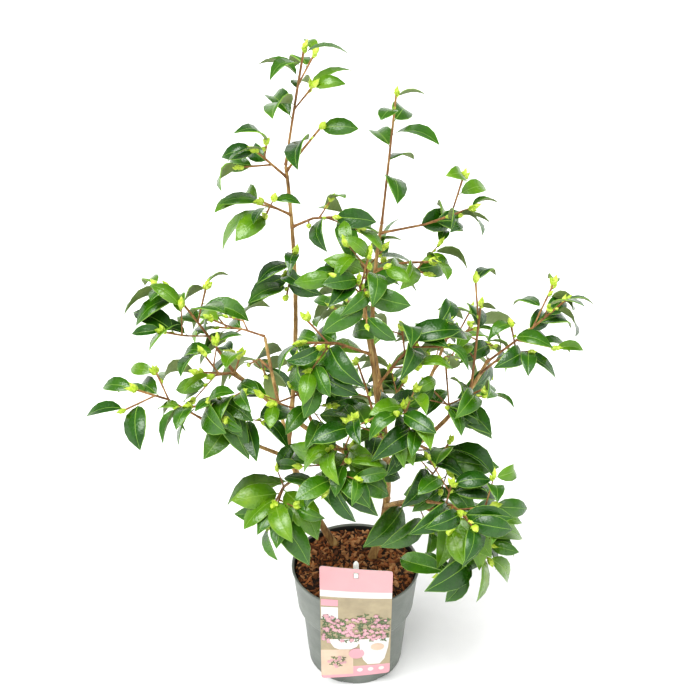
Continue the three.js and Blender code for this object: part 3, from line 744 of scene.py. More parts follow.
# %% Grow every mass by the frame's own rule
shoots, leaves = [], []
for name, mass in masses.items():
    draw = random_stream(1000 + 37 * mass["place"])

    def free(places, mass=mass):
        return clear_of_things(places) and in_own_space(mass, places)

    sides = side_shoots(mass["leader"], mass["sides"], draw)
    mass["shoots"] = [mass["leader"]] + [s for s in sides if free(s.bowed.points(6)[2:])]
    mass["leaves"] = []
    for shoot in mass["shoots"]:
        def fits(leaf, sisters, mass=mass):
            lines = [other["line"] for other in mass["leaves"] + sisters]
            return free(leaf["samples"]) and not crowds(leaf, mass["shoots"], lines)

        mass["leaves"] += grow_leaves(shoot, draw, fits)
    shoots += mass["shoots"]
    leaves += mass["leaves"]
print("first growth:", len(shoots), "shoots and", len(leaves), "leaves")

# %% [markdown]
# ## Finer twigs
#
# Short twigs with smaller leaves grow between the first shoots. A new leaf keeps off every leaf
# already grown, in its own mass or in the next.

# %% Grow the finer twigs
FINER = {"shortest": 20, "longest": 40, "root": 0.85, "tip": 0.75, "bare": 0.2, "internode": 9.5,
         "gain": 0.86, "from": 0.3, "to": 0.9, "forward": 0.62, "rise": 0.25, "sag": 0.05, "tries": 4,
         "leaf_reach": 95, "twig_reach": 100, "leaf_clear": 2.4, "twig_clear": 1.6}


def has_room(mass, places):
    return clear_of_things(places) and in_own_space(mass, places, own_only=False)


for name, mass in masses.items():
    draw = random_stream(7000 + 37 * mass["place"])

    def fits(leaf, sisters, mass=mass):
        if not has_room(mass, leaf["samples"]):
            return False
        root = leaf["root"]
        near_leaves = [other for other in leaves
                       if np.linalg.norm(other["root"] - root) < FINER["leaf_reach"]]
        near_twigs = [shoot for shoot in shoots
                      if distances(shoot.line, root[None]).min() < FINER["twig_reach"]]
        lines = [other["line"] for other in near_leaves + sisters]
        return not crowds(leaf, near_twigs, lines, FINER["twig_clear"], FINER["leaf_clear"])

    added = 0
    for attempt in range(FINER["tries"] * mass["finer"]):
        if added == mass["finer"]:
            break
        parent = mass["shoots"][int(draw() * len(mass["shoots"]))]
        share, azimuth, size = mix(FINER["from"], FINER["to"], draw()), draw() * TURN, draw()
        heading = parent.bowed.heading(share)
        across, other = square_to(heading)
        way = unit(heading * FINER["forward"] + across * math.cos(azimuth) + other * math.sin(azimuth)
                   + UP * FINER["rise"])
        root, length = parent.at(share), mix(FINER["shortest"], FINER["longest"], size)
        twig = Shoot(root, root + way * length, point(0, 0, -FINER["sag"] * length),
                     (FINER["root"], FINER["tip"]), FINER["bare"])
        if not has_room(mass, twig.bowed.points(4)[1:]):
            continue
        grown = grow_leaves(twig, draw, fits, FINER["internode"], FINER["gain"])
        if grown:
            shoots.append(twig)
            leaves += grown
            added += 1
print("full growth:", len(shoots), "shoots and", len(leaves), "leaves")

# %% [markdown]
# ## The twigs in bark
#
# The same tree makes the twigs, with fewer sides and hardly any ridge. Each twig starts inside the
# limb or twig that carries it, a little thicker there, and ends under its bud.


# %% Grow the twigs
TWIG_STEP, TWIG_COLLAR, TWIG_COLLAR_REACH, JOINT, JOINT_STEP = 9, 0.35, 3, 0.12, 11


def dressed_twig(shoot):
    steps = max(4, math.ceil(shoot.length / TWIG_STEP))
    points = []
    for i in range(steps + 1):
        share = i / steps
        far = share * shoot.length
        swell = TWIG_COLLAR * math.exp(-far / TWIG_COLLAR_REACH)
        swell += JOINT * math.cos(TURN * far / JOINT_STEP) ** 8
        points.append((shoot.at(share), mix(*shoot.thick, share) * (0.86 + swell)))
    return points


twigs = grow_by(bark_rule, line_carrier("twig_lines", [dressed_twig(s) for s in shoots]), "twigs",
                Sides=7, Ridge_height=0.25 * MM, Ridges_per_metre=700.0, Finish_0=twig_bark)

# %% [markdown]
# ## The shape of a leaf
#
# One leaf is a closed sheet, a unit long: a short stalk, then a blade that is widest before its
# middle and drawn out to a point that droops. It is folded a little along a narrow midrib, and a pale
# rim runs round it. Six shapes keep the leaves from looking stamped.

# %% Leaf shapes
ROWS = [  # share of the length, half width against the widest
    (0.0, 0.05), (0.09, 0.045), (0.15, 0.44), (0.28, 0.84), (0.46, 1.0),
    (0.65, 0.95), (0.81, 0.70), (0.92, 0.32), (1.0, 0.02),
]
UPPER, UNDER, RIB = 0, 1, 2
RIM = 0.009  # width of the pale rim


def leaf_shape(name, fold, droop, sweep, width, cup):
    corners, faces, parts = [], [], []
    for share, half in ROWS:
        up = LEAF["arch"] * (1 - ((share - 0.45) / (0.45 if share < 0.45 else 0.55)) ** 2)
        up -= droop * max(0, share - 0.55) ** 2 * 2
        aside = sweep * math.sin(math.pi * share) * share
        edge = half * width / 2
        rib = min(edge * 0.4, 0.0085 * (1 - 0.8 * share) + 0.0015)
        for side in (-1, 1):
            near = max(edge - RIM, (edge + rib) / 2)
            outline = [(edge, (fold - cup) * edge), (near, fold * near + 0.3 * (edge - near)), (rib, 0)]
            row = [(share, aside + side * y, up + z) for y, z in (outline if side < 0 else outline[::-1])]
            corners += row
        corners.append((share, aside, up - (0.010 if 0.1 < share < 1 else 0.008)))
    for i in range(len(ROWS) - 1):
        a, b = 7 * i, 7 * i + 7
        for j in range(5):
            faces.append((a + j, b + j, b + j + 1, a + j + 1))
            parts.append(UPPER if j in (1, 3) and i else RIB)
        faces += [(a + 6, b + 6, b, a), (a + 5, b + 5, b + 6, a + 6)]
        parts += [RIB if i == 0 else UNDER] * 2
    last = 7 * (len(ROWS) - 1)
    faces += [(0, 1, 2, 3, 4, 5, 6), tuple(last + j for j in (6, 5, 4, 3, 2, 1, 0))]
    parts += [RIB, UPPER]
    shape = face_outward(mesh_object(name, np.array(corners) / MM, faces))
    mark(shape.data, "part", "INT", "FACE", parts)
    rims = {tuple(sorted((7 * i + j, 7 * i + 7 + j))) for i in range(len(ROWS) - 1) for j in (0, 5)}
    sharp = [tuple(sorted(edge.vertices)) in rims for edge in shape.data.edges]
    mark(shape.data, "sharp_edge", "BOOLEAN", "EDGE", sharp)
    return shape


def shelf_of(name, shapes):
    """Keeps shapes in a collection of their own, off the scene, for a tree to pick from."""
    shelf = bpy.data.collections.new(name)
    for shape in shapes:
        bpy.context.scene.collection.objects.unlink(shape)
        shelf.objects.link(shape)
    return shelf


leaf_shelf = shelf_of("leaf shapes", [
    leaf_shape(f"leaf_shape_{i}", *sizes) for i, sizes in enumerate([
        # fold, droop, sweep, width, cup
        (0.20, 0.10, 0.04, 0.44, 0.00), (0.42, 0.30, -0.05, 0.42, 0.10), (0.14, 0.55, 0.03, 0.45, 0.16),
        (0.60, 0.15, 0.08, 0.39, 0.00), (0.30, 0.75, -0.08, 0.43, 0.12), (0.08, 0.20, 0.00, 0.47, 0.10),
    ])
])

# %% [markdown]
# ## Setting shapes out on points, with Geometry Nodes
#
# One tree reads a cloud of points. Each point carries its turn, its size and which shape it takes.
# The shapes are set out and made real, and each part of them gets its finish.


# %% The tree that sets shapes out
def set_out(tree, given, points, shape, turn, scale, parts):
    """parts is the number of kinds of face that take a finish of their own."""
    shelf = first(tree, "GeometryNodeCollectionInfo", Collection=given["Shapes"], Separate_Children=True,
                  Reset_Children=True)
    laid = first(tree, "GeometryNodeInstanceOnPoints", Points=points, Instance=shelf, Pick_Instance=True,
                 Instance_Index=shape, Rotation=turn, Scale=scale)
    shaped = first(tree, "GeometryNodeRealizeInstances", Geometry=laid)
    for i in range(parts):
        this_part = first(tree, "FunctionNodeCompare", {"data_type": "INT", "operation": "EQUAL"},
                          input_2=carried(tree, "part", "INT"), input_3=i)
        shaped = first(tree, "GeometryNodeSetMaterial", Geometry=shaped, Selection=this_part,
                       Material=given[f"Finish {i}"])
    return shaped


def setting_out_tree(name, parts):
    tree, given, result = new_rule(name, ["Size"], [("Shapes", "Collection")], parts)
    turn = first(tree, "FunctionNodeEulerToRotation", Euler=carried(tree, "turn", "FLOAT_VECTOR"))
    scale = scaled(tree, carried(tree, "stature", "FLOAT_VECTOR"), given["Size"])
    shape = carried(tree, "shape", "INT")
    tree.links.new(set_out(tree, given, given["Base"], shape, turn, scale, parts), result)
    return tree


def point_carrier(name, places):
    """Points in millimetres. Each is (place, chord, across, face, size as three numbers, shape)."""
    mesh = bpy.data.meshes.new(name)
    mesh.from_pydata([tuple(MM * p[0]) for p in places], [], [])
    turns = [Matrix(np.array(p[1:4]).T.tolist()).to_euler() for p in places]
    mark(mesh, "turn", "FLOAT_VECTOR", "POINT", np.ravel(turns))
    mark(mesh, "stature", "FLOAT_VECTOR", "POINT", np.ravel([p[4] for p in places]))
    mark(mesh, "shape", "INT", "POINT", [p[5] for p in places])
    return placed(name, mesh)


foliage_rule = setting_out_tree("set out leaves", 3)

# %% [markdown]
# ## Deal out the leaves
#
# The greens are dealt out shoot by shoot: the higher the shoot, the more often it is fresh, and the
# lower, the more often it is deep, which paints shade low in the crown. The last leaves of a shoot
# may be a step younger.

# %% Deal out and set out the leaves
LEAF_TONES = ("deep", "middle", "fresh")
LIFE_SIZE = 0.92  # the frame's leaves are a little larger than life
CROWN_FOOT, CROWN_RISE = 260, 400
# Chances at the foot and at the top of the crown. Deep, likelier low down, is painted shade there.
FRESH_BELOW, DEEP_ABOVE, YOUNGER_BELOW = (0.01, 0.30), (0.50, 0.66), (0.08, 0.5)
dealt = {age: [] for age in LEAF_TONES}
deal = random_stream(4242)
tone_of_shoot = {}
for leaf in leaves:
    key = id(leaf["shoot"])
    height = min(max((leaf["root"][2] - CROWN_FOOT) / CROWN_RISE, 0), 1)
    if key not in tone_of_shoot:
        chance = deal()
        fresh_below, deep_above = mix(*FRESH_BELOW, height), mix(*DEEP_ABOVE, height)
        tone_of_shoot[key] = 2 if chance < fresh_below else 0 if chance > deep_above else 1
    younger = 1 if leaf["last"] > 0.8 and deal() < mix(*YOUNGER_BELOW, height) else 0
    age = LEAF_TONES[min(2, tone_of_shoot[key] + younger)]
    long = leaf["length"] * LIFE_SIZE
    stature = (long, long * mix(0.92, 1.1, deal()), long * mix(0.7, 1.15, deal()))
    shape = int(deal() * len(leaf_shelf.objects))
    dealt[age].append((leaf["root"], leaf["chord"], leaf["across"], leaf["face"], stature, shape))
leaf_pieces = [
    grow_by(foliage_rule, point_carrier(f"{age}_points", dealt[age]), f"leaves_{age}", Shapes=leaf_shelf,
            Size=MM, Finish_0=leaf_faces[age], Finish_1=leaf_back, Finish_2=leaf_rib)
    for age in LEAF_TONES
]
print("leaves by age:", {age: len(found) for age, found in dealt.items()})

# %% [markdown]
# ## Buds
#
# Fat lime-coloured buds stand at the tips of the shoots, and smaller ones sit between leaf and twig.
# A bud is a spindle whose corners stand out in turn, which reads as overlapping scales.


# %% Bud shapes
BUD_SIDES = 6
# How far along each ring of a bud lies and its radius, both as shares of the bud's length.
BUD_RINGS = [(0.0, 0.09), (0.10, 0.16), (0.26, 0.23), (0.44, 0.25), (0.62, 0.20), (0.80, 0.11),
             (0.93, 0.04)]


def bud_shape(name, girth, lean, point_at):
    corners = [(0, 0, 0)]
    for i, (share, radius) in enumerate(BUD_RINGS):
        for j in range(BUD_SIDES):
            angle = TURN * (j + 0.5 * (i % 2)) / BUD_SIDES
            scale = girth * radius * (1.16 if (i + j) % 2 else 0.92)
            corners.append((share, scale * math.cos(angle) + lean * share * share,
                            scale * math.sin(angle)))
    corners.append((point_at, lean, 0))
    faces = closed_faces(BUD_SIDES, len(BUD_RINGS))
    shape = face_outward(mesh_object(name, np.array(corners) / MM, faces, smooth=False))
    mark(shape.data, "part", "INT", "FACE", [0] * len(shape.data.polygons))
    return shape


bud_shelf = shelf_of("bud shapes", [
    bud_shape("bud_shape_0", 1.0, 0.05, 1.06), bud_shape("bud_shape_1", 1.15, -0.1, 1.0),
    bud_shape("bud_shape_2", 0.85, 0.16, 1.1),
])


# %% Set out the buds
deal = random_stream(9090)
bud_places = []


def add_bud(place, way, shortest, longest):
    across, other = square_to(way)
    length = mix(shortest, longest, deal())
    bud_places.append((place, way, across, np.cross(way, across), (length, length, length), int(deal() * 3)))


for shoot in shoots:
    tip, heading = shoot.bowed.tip, shoot.bowed.heading(1)
    across, other = square_to(heading)
    add_bud(tip - heading * 1.5, heading, 10, 14)
    for i in range(int(deal() * 3.4)):
        angle = deal() * TURN
        aside = across * math.cos(angle) + other * math.sin(angle)
        way = unit(heading + aside * mix(0.5, 0.95, deal()) + UP * 0.15)
        add_bud(tip - heading * mix(1.5, 5, deal()), way, 7.5, 12)
for leaf in leaves:
    if deal() < 0.4:
        way = unit(leaf["chord"] * 0.6 + leaf["shoot"].bowed.heading(0.5) * 0.9 + UP * 0.2)
        add_bud(leaf["root"] + way * 0.6, way, 4.5, 9)
bud_rule = setting_out_tree("set out buds", 1)
buds = grow_by(bud_rule, point_carrier("bud_points", bud_places), "buds", Shapes=bud_shelf, Size=MM,
               Finish_0=bud_scale)
print("buds:", len(bud_places))

# %% [markdown]
# ## The pot
#
# A nursery pot is blown or moulded in thin plastic: a broad collar to grip and stack by, a tapered
# body under it, a foot band, and notches for the water round the foot. It is a form of revolution,
# so one outline is turned round the axis in many small steps, up the outside and down the inside,
# and the notches are cut with a Boolean.


# %% Turn the pot
def turned(name, outline, sides, finishes, finish_of_ring=None):
    """A closed form of revolution: the outline starts and ends on the axis."""
    inner = outline[1:-1]
    corners = [(0, 0, outline[0][1])]
    for radius, height in inner:
        corners += [(radius * math.cos(TURN * j / sides), radius * math.sin(TURN * j / sides), height)
                    for j in range(sides)]
    corners.append((0, 0, outline[-1][1]))
    faces = closed_faces(sides, len(inner))
    dealt_out = None
    if finish_of_ring:
        dealt_out = [finish_of_ring(i // sides) for i in range(len(faces))]
    return face_outward(mesh_object(name, corners, faces, finishes, dealt_out))


POT_OUTLINE = [
    (0, 0), (54.6, 0), (55.6, 0.4), (56, 1.4), (56, 11.4), (56.4, 12.2), (57.2, 13), (58.2, 25),
    (59.9, 45), (61.6, 65), (62.3, 73.4), (62.7, 75), (63.6, 76.4), (67.4, 82.2), (68.2, 83.4),
    (68.6, 85), (69.4, 94), (71.3, 112), (73.2, 133), (73.5, 135), (74.2, 135.4), (74.8, 135.9),
    (75, 136.7), (74.8, 137.5), (74.2, 138), (73.2, 138), (72.4, 137.4), (71.8, 136), (71.2, 130),
    (69.6, 112), (67, 86), (66.6, 84), (61.2, 76.4), (60.8, 75), (54.4, 3), (0, 3),
]


def plastic_pattern(tree, place):
    scuffs = noise(tree, stretch(tree, place, (0.5, 0.5, 2)), 60, 4, 0.7)
    return blended(tree, scuffs, 0.35, noise(tree, place, 28, 6, 0.6)), noise(tree, place, 700, 2)


PLASTIC_GREYS = [(0.34, (0.118, 0.132, 0.116)), (0.5, (0.158, 0.174, 0.154)),
                 (0.66, (0.200, 0.217, 0.192))]
pot_plastic = finish("pot_plastic", PLASTIC_GREYS, plastic_pattern, (0.36, 0.5), 0.0002)
pot_inside = finish("pot_inside", [(0.34, (0.010, 0.012, 0.012)), (0.66, (0.026, 0.030, 0.029))],
                    plastic_pattern, (0.45, 0.6), 0.0002)
LAST_OUTER_RING = 26
pot = turned("pot_shell", POT_OUTLINE, 144, [pot_plastic, pot_inside],
             lambda ring: int(ring > LAST_OUTER_RING))

# %% Cut the notches in the foot
NOTCHES, FIRST_NOTCH = 8, math.radians(-100)
notches = []
for i in range(NOTCHES):
    angle = FIRST_NOTCH + i * TURN / NOTCHES
    box = np.array([(x, y, z) for x in (47, 65) for y in (-7, 7) for z in (-4, 2)], float)
    c, s = math.cos(angle), math.sin(angle)
    notches += [(x * c - y * s, x * s + y * c, z) for x, y, z in box]
notch_faces = [(0, 1, 3, 2), (4, 6, 7, 5), (0, 4, 5, 1), (2, 3, 7, 6), (0, 2, 6, 4), (1, 5, 7, 3)]
cutter = face_outward(mesh_object("notch_cutter", notches,
                                  [tuple(8 * i + j for j in face)
                                   for i in range(NOTCHES) for face in notch_faces]))
cut = pot.modifiers.new("notches", "BOOLEAN")
cut.operation, cut.object, cut.solver = "DIFFERENCE", cutter, "EXACT"
pot = settle(pot, "pot_fine")
bpy.data.objects.remove(cutter)
pot.data.set_sharp_from_angle(angle=math.radians(40))

# %% [markdown]
# ## The bark mulch
#
# A bed with an uneven top fills the pot. Geometry Nodes throw points on it with a fixed seed, give
# each one a chip, a turn, a tilt and a size, and deal out three browns by chance.


# %% The bed
def chip_pattern(tree, place):
    return noise(tree, place, 90, 4), noise(tree, stretch(tree, place, (1, 1, 3)), 500, 4)


BED_EDGE = 0.1302  # the bed's top lies above this, in metres
bed_brown = finish("mulch_bed", [(0.3, (0.018, 0.008, 0.004)), (0.7, (0.055, 0.025, 0.012))], chip_pattern,
                   (0.85, 0.95), 0.002)
BED_OUTLINE = [(0, 112), (63, 112), (66.5, 116), (69.9, 129), (69.2, 130.4)]
BED_OUTLINE += [(r, GROUND - 2.2 * max(0, (r - 56) / 12) ** 2) for r in range(66, 3, -3)] + [(0, GROUND)]
bed = turned("mulch_bed", BED_OUTLINE, 96, [bed_brown])
for corner in bed.data.vertices:
    if corner.co.z > BED_EDGE:
        x, y = corner.co.x / MM, corner.co.y / MM
        waves = math.sin(x * 0.31 + 1.3) * math.cos(y * 0.27) + 0.6 * math.sin(x * 0.73 - y * 0.61)
        corner.co.z += MM * 0.8 * waves


# %% Chips, and the tree that scatters them
CHIP_CORNERS = 13


def chip_shape(name, seed, long, wide, high):
    draw = random_stream(seed)
    shape = bmesh.new()
    for _ in range(CHIP_CORNERS):
        around, up = draw() * TURN, draw() - 0.5
        bulge = math.sqrt(1 - 3.2 * up * up) if abs(up) < 0.55 else 0.2
        shape.verts.new((MM * long * math.cos(around) * bulge * mix(0.7, 1, draw()),
                         MM * wide * math.sin(around) * bulge * mix(0.6, 1, draw()), MM * high * up * 2))
    hull = bmesh.ops.convex_hull(shape, input=shape.verts)
    loose = dict.fromkeys(hull["geom_interior"] + hull["geom_unused"])
    spare = [corner for corner in loose if isinstance(corner, bmesh.types.BMVert)]
    bmesh.ops.delete(shape, geom=spare, context="VERTS")
    bmesh.ops.recalc_face_normals(shape, faces=shape.faces)
    mesh = bpy.data.meshes.new(name)
    shape.to_mesh(mesh)
    shape.free()
    return placed(name, mesh)


# Half the length, half the width and half the height of each chip.
CHIPS = [(4.6, 1.7, 0.9), (3.6, 2.4, 1.2), (5.8, 1.3, 0.8), (2.8, 2.0, 1.4), (4.4, 1.1, 0.8)]
chip_shelf = shelf_of("chip shapes", [chip_shape(f"chip_shape_{i}", 11 + i, *size)
                                      for i, size in enumerate(CHIPS)])


def scatter_tree(name, tints):
    tree, given, result = new_rule(name, ["Per square metre", "Smallest", "Largest", "Tilt"],
                                   [("Shapes", "Collection"), ("Seed", "Int")], tints)

    def chance(kind, seed_shift, low, high):
        socket, output = {"FLOAT": (2, 1), "INT": (4, 2)}[kind]
        wires = {f"input_{socket}": low, f"input_{socket + 1}": high}
        seed = maths(tree, "ADD", given["Seed"], float(seed_shift))
        return lay(tree, "FunctionNodeRandomValue", {"data_type": kind}, **wires, Seed=seed).outputs[output]

    upward = lay(tree, "ShaderNodeSeparateXYZ", Vector=first(tree, "GeometryNodeInputNormal")).outputs[2]
    on_top = first(tree, "FunctionNodeCompare", {"operation": "GREATER_THAN"}, input_0=upward, input_1=0.5)
    thrown = first(tree, "GeometryNodeDistributePointsOnFaces", Mesh=given["Base"], Selection=on_top,
                   Density=given["Per square metre"], Seed=given["Seed"])
    tinted = first(tree, "GeometryNodeStoreNamedAttribute", {"data_type": "INT", "domain": "POINT"},
                   Geometry=thrown, Name="part", Value=chance("INT", 1, 0, tints - 1))
    lean_back = maths(tree, "MULTIPLY", given["Tilt"], -1.0)
    angles = first(tree, "ShaderNodeCombineXYZ", X=chance("FLOAT", 2, lean_back, given["Tilt"]),
                   Y=chance("FLOAT", 3, lean_back, given["Tilt"]), Z=chance("FLOAT", 4, 0.0, TURN))
    turn = first(tree, "FunctionNodeEulerToRotation", Euler=angles)
    scale = chance("FLOAT", 6, given["Smallest"], given["Largest"])
    tree.links.new(set_out(tree, given, tinted, chance("INT", 5, 0, 99), turn, scale, tints), result)
    return tree


# %% Scatter the chips
chip_finishes = [
    finish(f"bark_chip_{name}", [(0.3, dark), (0.7, light)], chip_pattern, (0.75, 0.9), 0.0015)
    for name, dark, light in [
        ("dark", (0.090, 0.030, 0.009), (0.220, 0.078, 0.024)),
        ("red", (0.270, 0.092, 0.027), (0.480, 0.185, 0.060)),
        ("pale", (0.380, 0.170, 0.066), (0.580, 0.320, 0.150)),
    ]
]
chips = grow_by(scatter_tree("scatter chips", 3), placed("chip_bed", bed.data.copy()), "mulch_chips",
                Shapes=chip_shelf, Per_square_metre=70000.0, Smallest=0.5, Largest=2.3, Tilt=0.8, Seed=7,
                **{f"Finish_{i}": made for i, made in enumerate(chip_finishes)})

# %% Move each chip that would pass through the wall inwards until it fits
WALL_REACH = 70.8 * MM  # a little less than the inner radius of the pot
shape = bmesh.new()
shape.from_mesh(chips.data)
sorted_out = set()
for start in shape.verts:
    if start in sorted_out:
        continue
    chip, to_visit = {start}, [start]
    while to_visit:
        corner = to_visit.pop()
        found = {edge.other_vert(corner) for edge in corner.link_edges} - chip
        chip |= found
        to_visit += found
    sorted_out |= chip
    outermost = max((corner.co.xy for corner in chip), key=lambda spot: spot.length)
    over = outermost.length - WALL_REACH
    if over > 0:
        step = outermost.normalized() * over
        for corner in chip:
            corner.co.xy -= step
shape.to_mesh(chips.data)
shape.free()
print("chips' corners:", len(chips.data.vertices))

# %% [markdown]
# ## The label card
#
# A plant label is a stiff glossy card hung on the front of the rim, bowed and twisted a little. Its
# print is generic: a pink head, a white strip, a panel with two patches on its left, an inset in the
# lower left, and a pink foot. The bands are faces of the card's own mesh, so they stay sharp.

# %% Label inks
ink_pattern = two_noises(40, 3, 900, 2)


def ink(name, colour, spread=0.06):
    darker = tuple(v * (1 - spread) for v in colour)
    return finish(name, [(0.3, darker), (0.7, colour)], ink_pattern, (0.28, 0.36), 0.00008,
                  Coat_Weight=0.4, Coat_Roughness=0.15)


INKS = {name: ink(f"ink_{name}", *mixed) for name, *mixed in [
    ("white", (0.64, 0.61, 0.585)), ("pink", (0.63, 0.330, 0.345)), ("panel", (0.39, 0.32, 0.19), 0.35),
    ("petal", (0.62, 0.31, 0.39), 0.3), ("green", (0.10, 0.17, 0.05), 0.5), ("gold", (0.60, 0.48, 0.26)),
    ("peach", (0.62, 0.46, 0.34), 0.2), ("rose", (0.62, 0.30, 0.34)),
]}
CARD = {"width": 80, "top": 62, "bottom": -118, "corner": 4, "thickness": 0.8, "bow": 1.2, "lean": 6.4,
        "twist": 4.2, "untwisted": -28}
RIM_FRONT, RIM_TOP = -75.3, 138
# From the top down: where each band ends, its ink, and the ink of its left half if that differs.
BANDS = [(26, "pink", None), (16, "white", None), (-70, "panel", None), (-100, "panel", "peach"),
         (-113, "rose", "peach"), (-118, "rose", None)]
tilt = math.radians(90 + CARD["lean"])


def from_label_frame(x, y, z):
    """From the card's own frame, which leans on the rim, to the plant's."""
    c, s = math.cos(tilt), math.sin(tilt)
    return x, y * c - z * s + RIM_FRONT, y * s + z * c + RIM_TOP


def on_card(x, y, out):
    """A place on the card: x to the right, y up from the rim, out from its front face."""
    across = 2 * x / CARD["width"]
    z = CARD["thickness"] + out + CARD["bow"] * (0.5 - across**2)
    z += CARD["twist"] * across * (y - CARD["untwisted"]) / (CARD["top"] - CARD["untwisted"])
    return from_label_frame(x, y, z)


# %% Make the card
def card_half_width(y):
    into_corner = max(0, y - (CARD["top"] - CARD["corner"]), (CARD["bottom"] + CARD["corner"]) - y)
    return CARD["width"] / 2 - CARD["corner"] + math.sqrt(max(0, CARD["corner"] ** 2 - into_corner**2))


SLOT = (-2.8, 2.8, 47.4, 56.6)  # left, right, bottom and top
CARD_BACK = -0.55  # behind the front face
lines_up = sorted({CARD["top"], CARD["bottom"], 61.4, 60, 58, -117.4, -116, -114, SLOT[2], SLOT[3]}
                  | {end for end, _, _ in BANDS} | set(range(-104, 60, 8)), reverse=True)
shares = [-1, -0.86, -0.64, -0.4, -0.2, SLOT[0] / 40, SLOT[1] / 40, 0.2, 0.4, 0.64, 0.86, 1]
corners, faces, inks = [], [], []
for y in lines_up:
    half = card_half_width(y)
    for share in shares:
        x = share * 40 if abs(share) < 0.8 else share * half
        corners += [on_card(x, y, 0), on_card(x, y, CARD_BACK)]
across = len(shares)
names = list(INKS)


def is_slot(i, j):
    middle = (lines_up[i] + lines_up[i + 1]) / 2
    return j == 5 and SLOT[2] < middle < SLOT[3]


for i in range(len(lines_up) - 1):
    middle = (lines_up[i] + lines_up[i + 1]) / 2
    whole, left_half = next(inks_of for end, *inks_of in BANDS if middle > end)
    for j in range(across - 1):
        if is_slot(i, j):
            continue
        a, b = 2 * (i * across + j), 2 * ((i + 1) * across + j)
        faces += [(a, b, b + 2, a + 2), (a + 1, a + 3, b + 3, b + 1)]
        inks += [names.index(left_half if left_half and shares[j] < -0.1 else whole), names.index("white")]
        around = {(i - 1, j): (a, a + 2), (i + 1, j): (b + 2, b),
                  (i, j - 1): (b, a), (i, j + 1): (a + 2, b + 2)}
        for (m, n), (p, q) in around.items():
            if not (0 <= m < len(lines_up) - 1 and 0 <= n < across - 1) or is_slot(m, n):
                faces.append((p, q, q + 1, p + 1))
                inks.append(names.index("white"))
label_print = face_outward(mesh_object("label_print", corners, faces, list(INKS.values()), inks,
                                       smooth=False))
print("card faces:", len(label_print.data.polygons))

# %% [markdown]
# ## The printed blossoms
#
# The panel shows blossoms and green leaves over two plain bowls, with a seal, and the foot has three
# dots. They are thin shapes set out by the same tree as the leaves. The main band is thrown from a
# seeded stream, and the heap in the inset follows the golden angle.


# %% Flat shapes for the print
def plate_faces(a, n):
    """The faces of a closed plate between two rings of n corners, the first from corner a."""
    sides = [(a + j, a + n + j, a + n + (j + 1) % n, a + (j + 1) % n) for j in range(n)]
    return [tuple(a + j for j in range(n)), tuple(a + n + j for j in reversed(range(n)))] + sides


def flat_shape(name, outlines):
    """outlines is a list of (ring of (x, y), part, lift). Each becomes one thin closed plate."""
    corners, faces, parts = [], [], []
    for ring, part, lift in outlines:
        a, n = len(corners), len(ring)
        corners += [(x, y, lift) for x, y in ring] + [(x, y, lift - 0.05) for x, y in ring]
        faces += plate_faces(a, n)
        parts += [part] * (n + 2)
    shape = face_outward(mesh_object(name, np.array(corners) / MM, faces, smooth=False))
    mark(shape.data, "part", "INT", "FACE", parts)
    return shape


def ring_of(radius, sides, out=0.0, squash=1.0, turn=0.0):
    """A ring that is squashed, moved out from the centre and turned."""
    c, s = math.cos(turn), math.sin(turn)
    made = []
    for j in range(sides):
        u, v = radius * math.cos(TURN * j / sides), radius * squash * math.sin(TURN * j / sides)
        made.append((out * c + u * c - v * s, out * s + u * s + v * c))
    return made


PRINT_INKS = [INKS[name] for name in ("petal", "green", "gold", "white", "peach", "rose")]
PETAL, GREEN, GOLD, WHITE, PEACH, ROSE = range(6)
petals = [(ring_of(0.42, 6, 0.52, 0.85, TURN * k / 5), PETAL, 0.10 + 0.012 * k) for k in range(5)]
sprig = [(ring_of(0.75, 6, 0.5, 0.42, turn), GREEN, 0.06 + 0.01 * i)
         for i, turn in enumerate((0.4, 2.6, 4.4))]
bowl = [(-1, 0.42), (-0.93, 0.1), (-0.72, -0.28), (-0.4, -0.46)]
bowl += [(-x, y) for x, y in reversed(bowl)]
square = [(-1, -1), (1, -1), (1, 1), (-1, 1)]
PRINT_SHAPES = [
    ("blossom", petals + [(ring_of(0.22, 6), GOLD, 0.18)]), ("sprig", sprig),
    ("dot", [(ring_of(1, 12), WHITE, 0.06)]), ("bowl", [(bowl, WHITE, 0.06)]),
    ("fruit", [(ring_of(1, 12), PEACH, 0.06)]), ("seal", [(ring_of(1, 24), ROSE, 0.06)]),
    ("white_patch", [(square, WHITE, 0.06)]), ("rose_patch", [(square, ROSE, 0.06)]),
]
print_shelf = shelf_of("print shapes", [flat_shape(f"print_{i}_{name}", outlines)
                                        for i, (name, outlines) in enumerate(PRINT_SHAPES)])
BLOSSOM, SPRIG, DOT, BOWL, FRUIT, SEAL, WHITE_PATCH, ROSE_PATCH = range(8)

# %% Set out the print
deal = random_stream(515)
printed = []


def print_at(x, y, wide, tall, shape, lift, turn=0.0):
    """Lays a shape on the card, square to the card's own bow and twist there."""
    here, right, up = (point(*on_card(x + i, y + j, lift)) for i, j in [(0, 0), (1, 0), (0, 1)])
    right = unit(right - here)
    out = unit(np.cross(right, up - here))
    way = right * math.cos(turn) + np.cross(out, right) * math.sin(turn)
    printed.append((here, way, np.cross(out, way), out, (wide, tall, 1.0), shape))


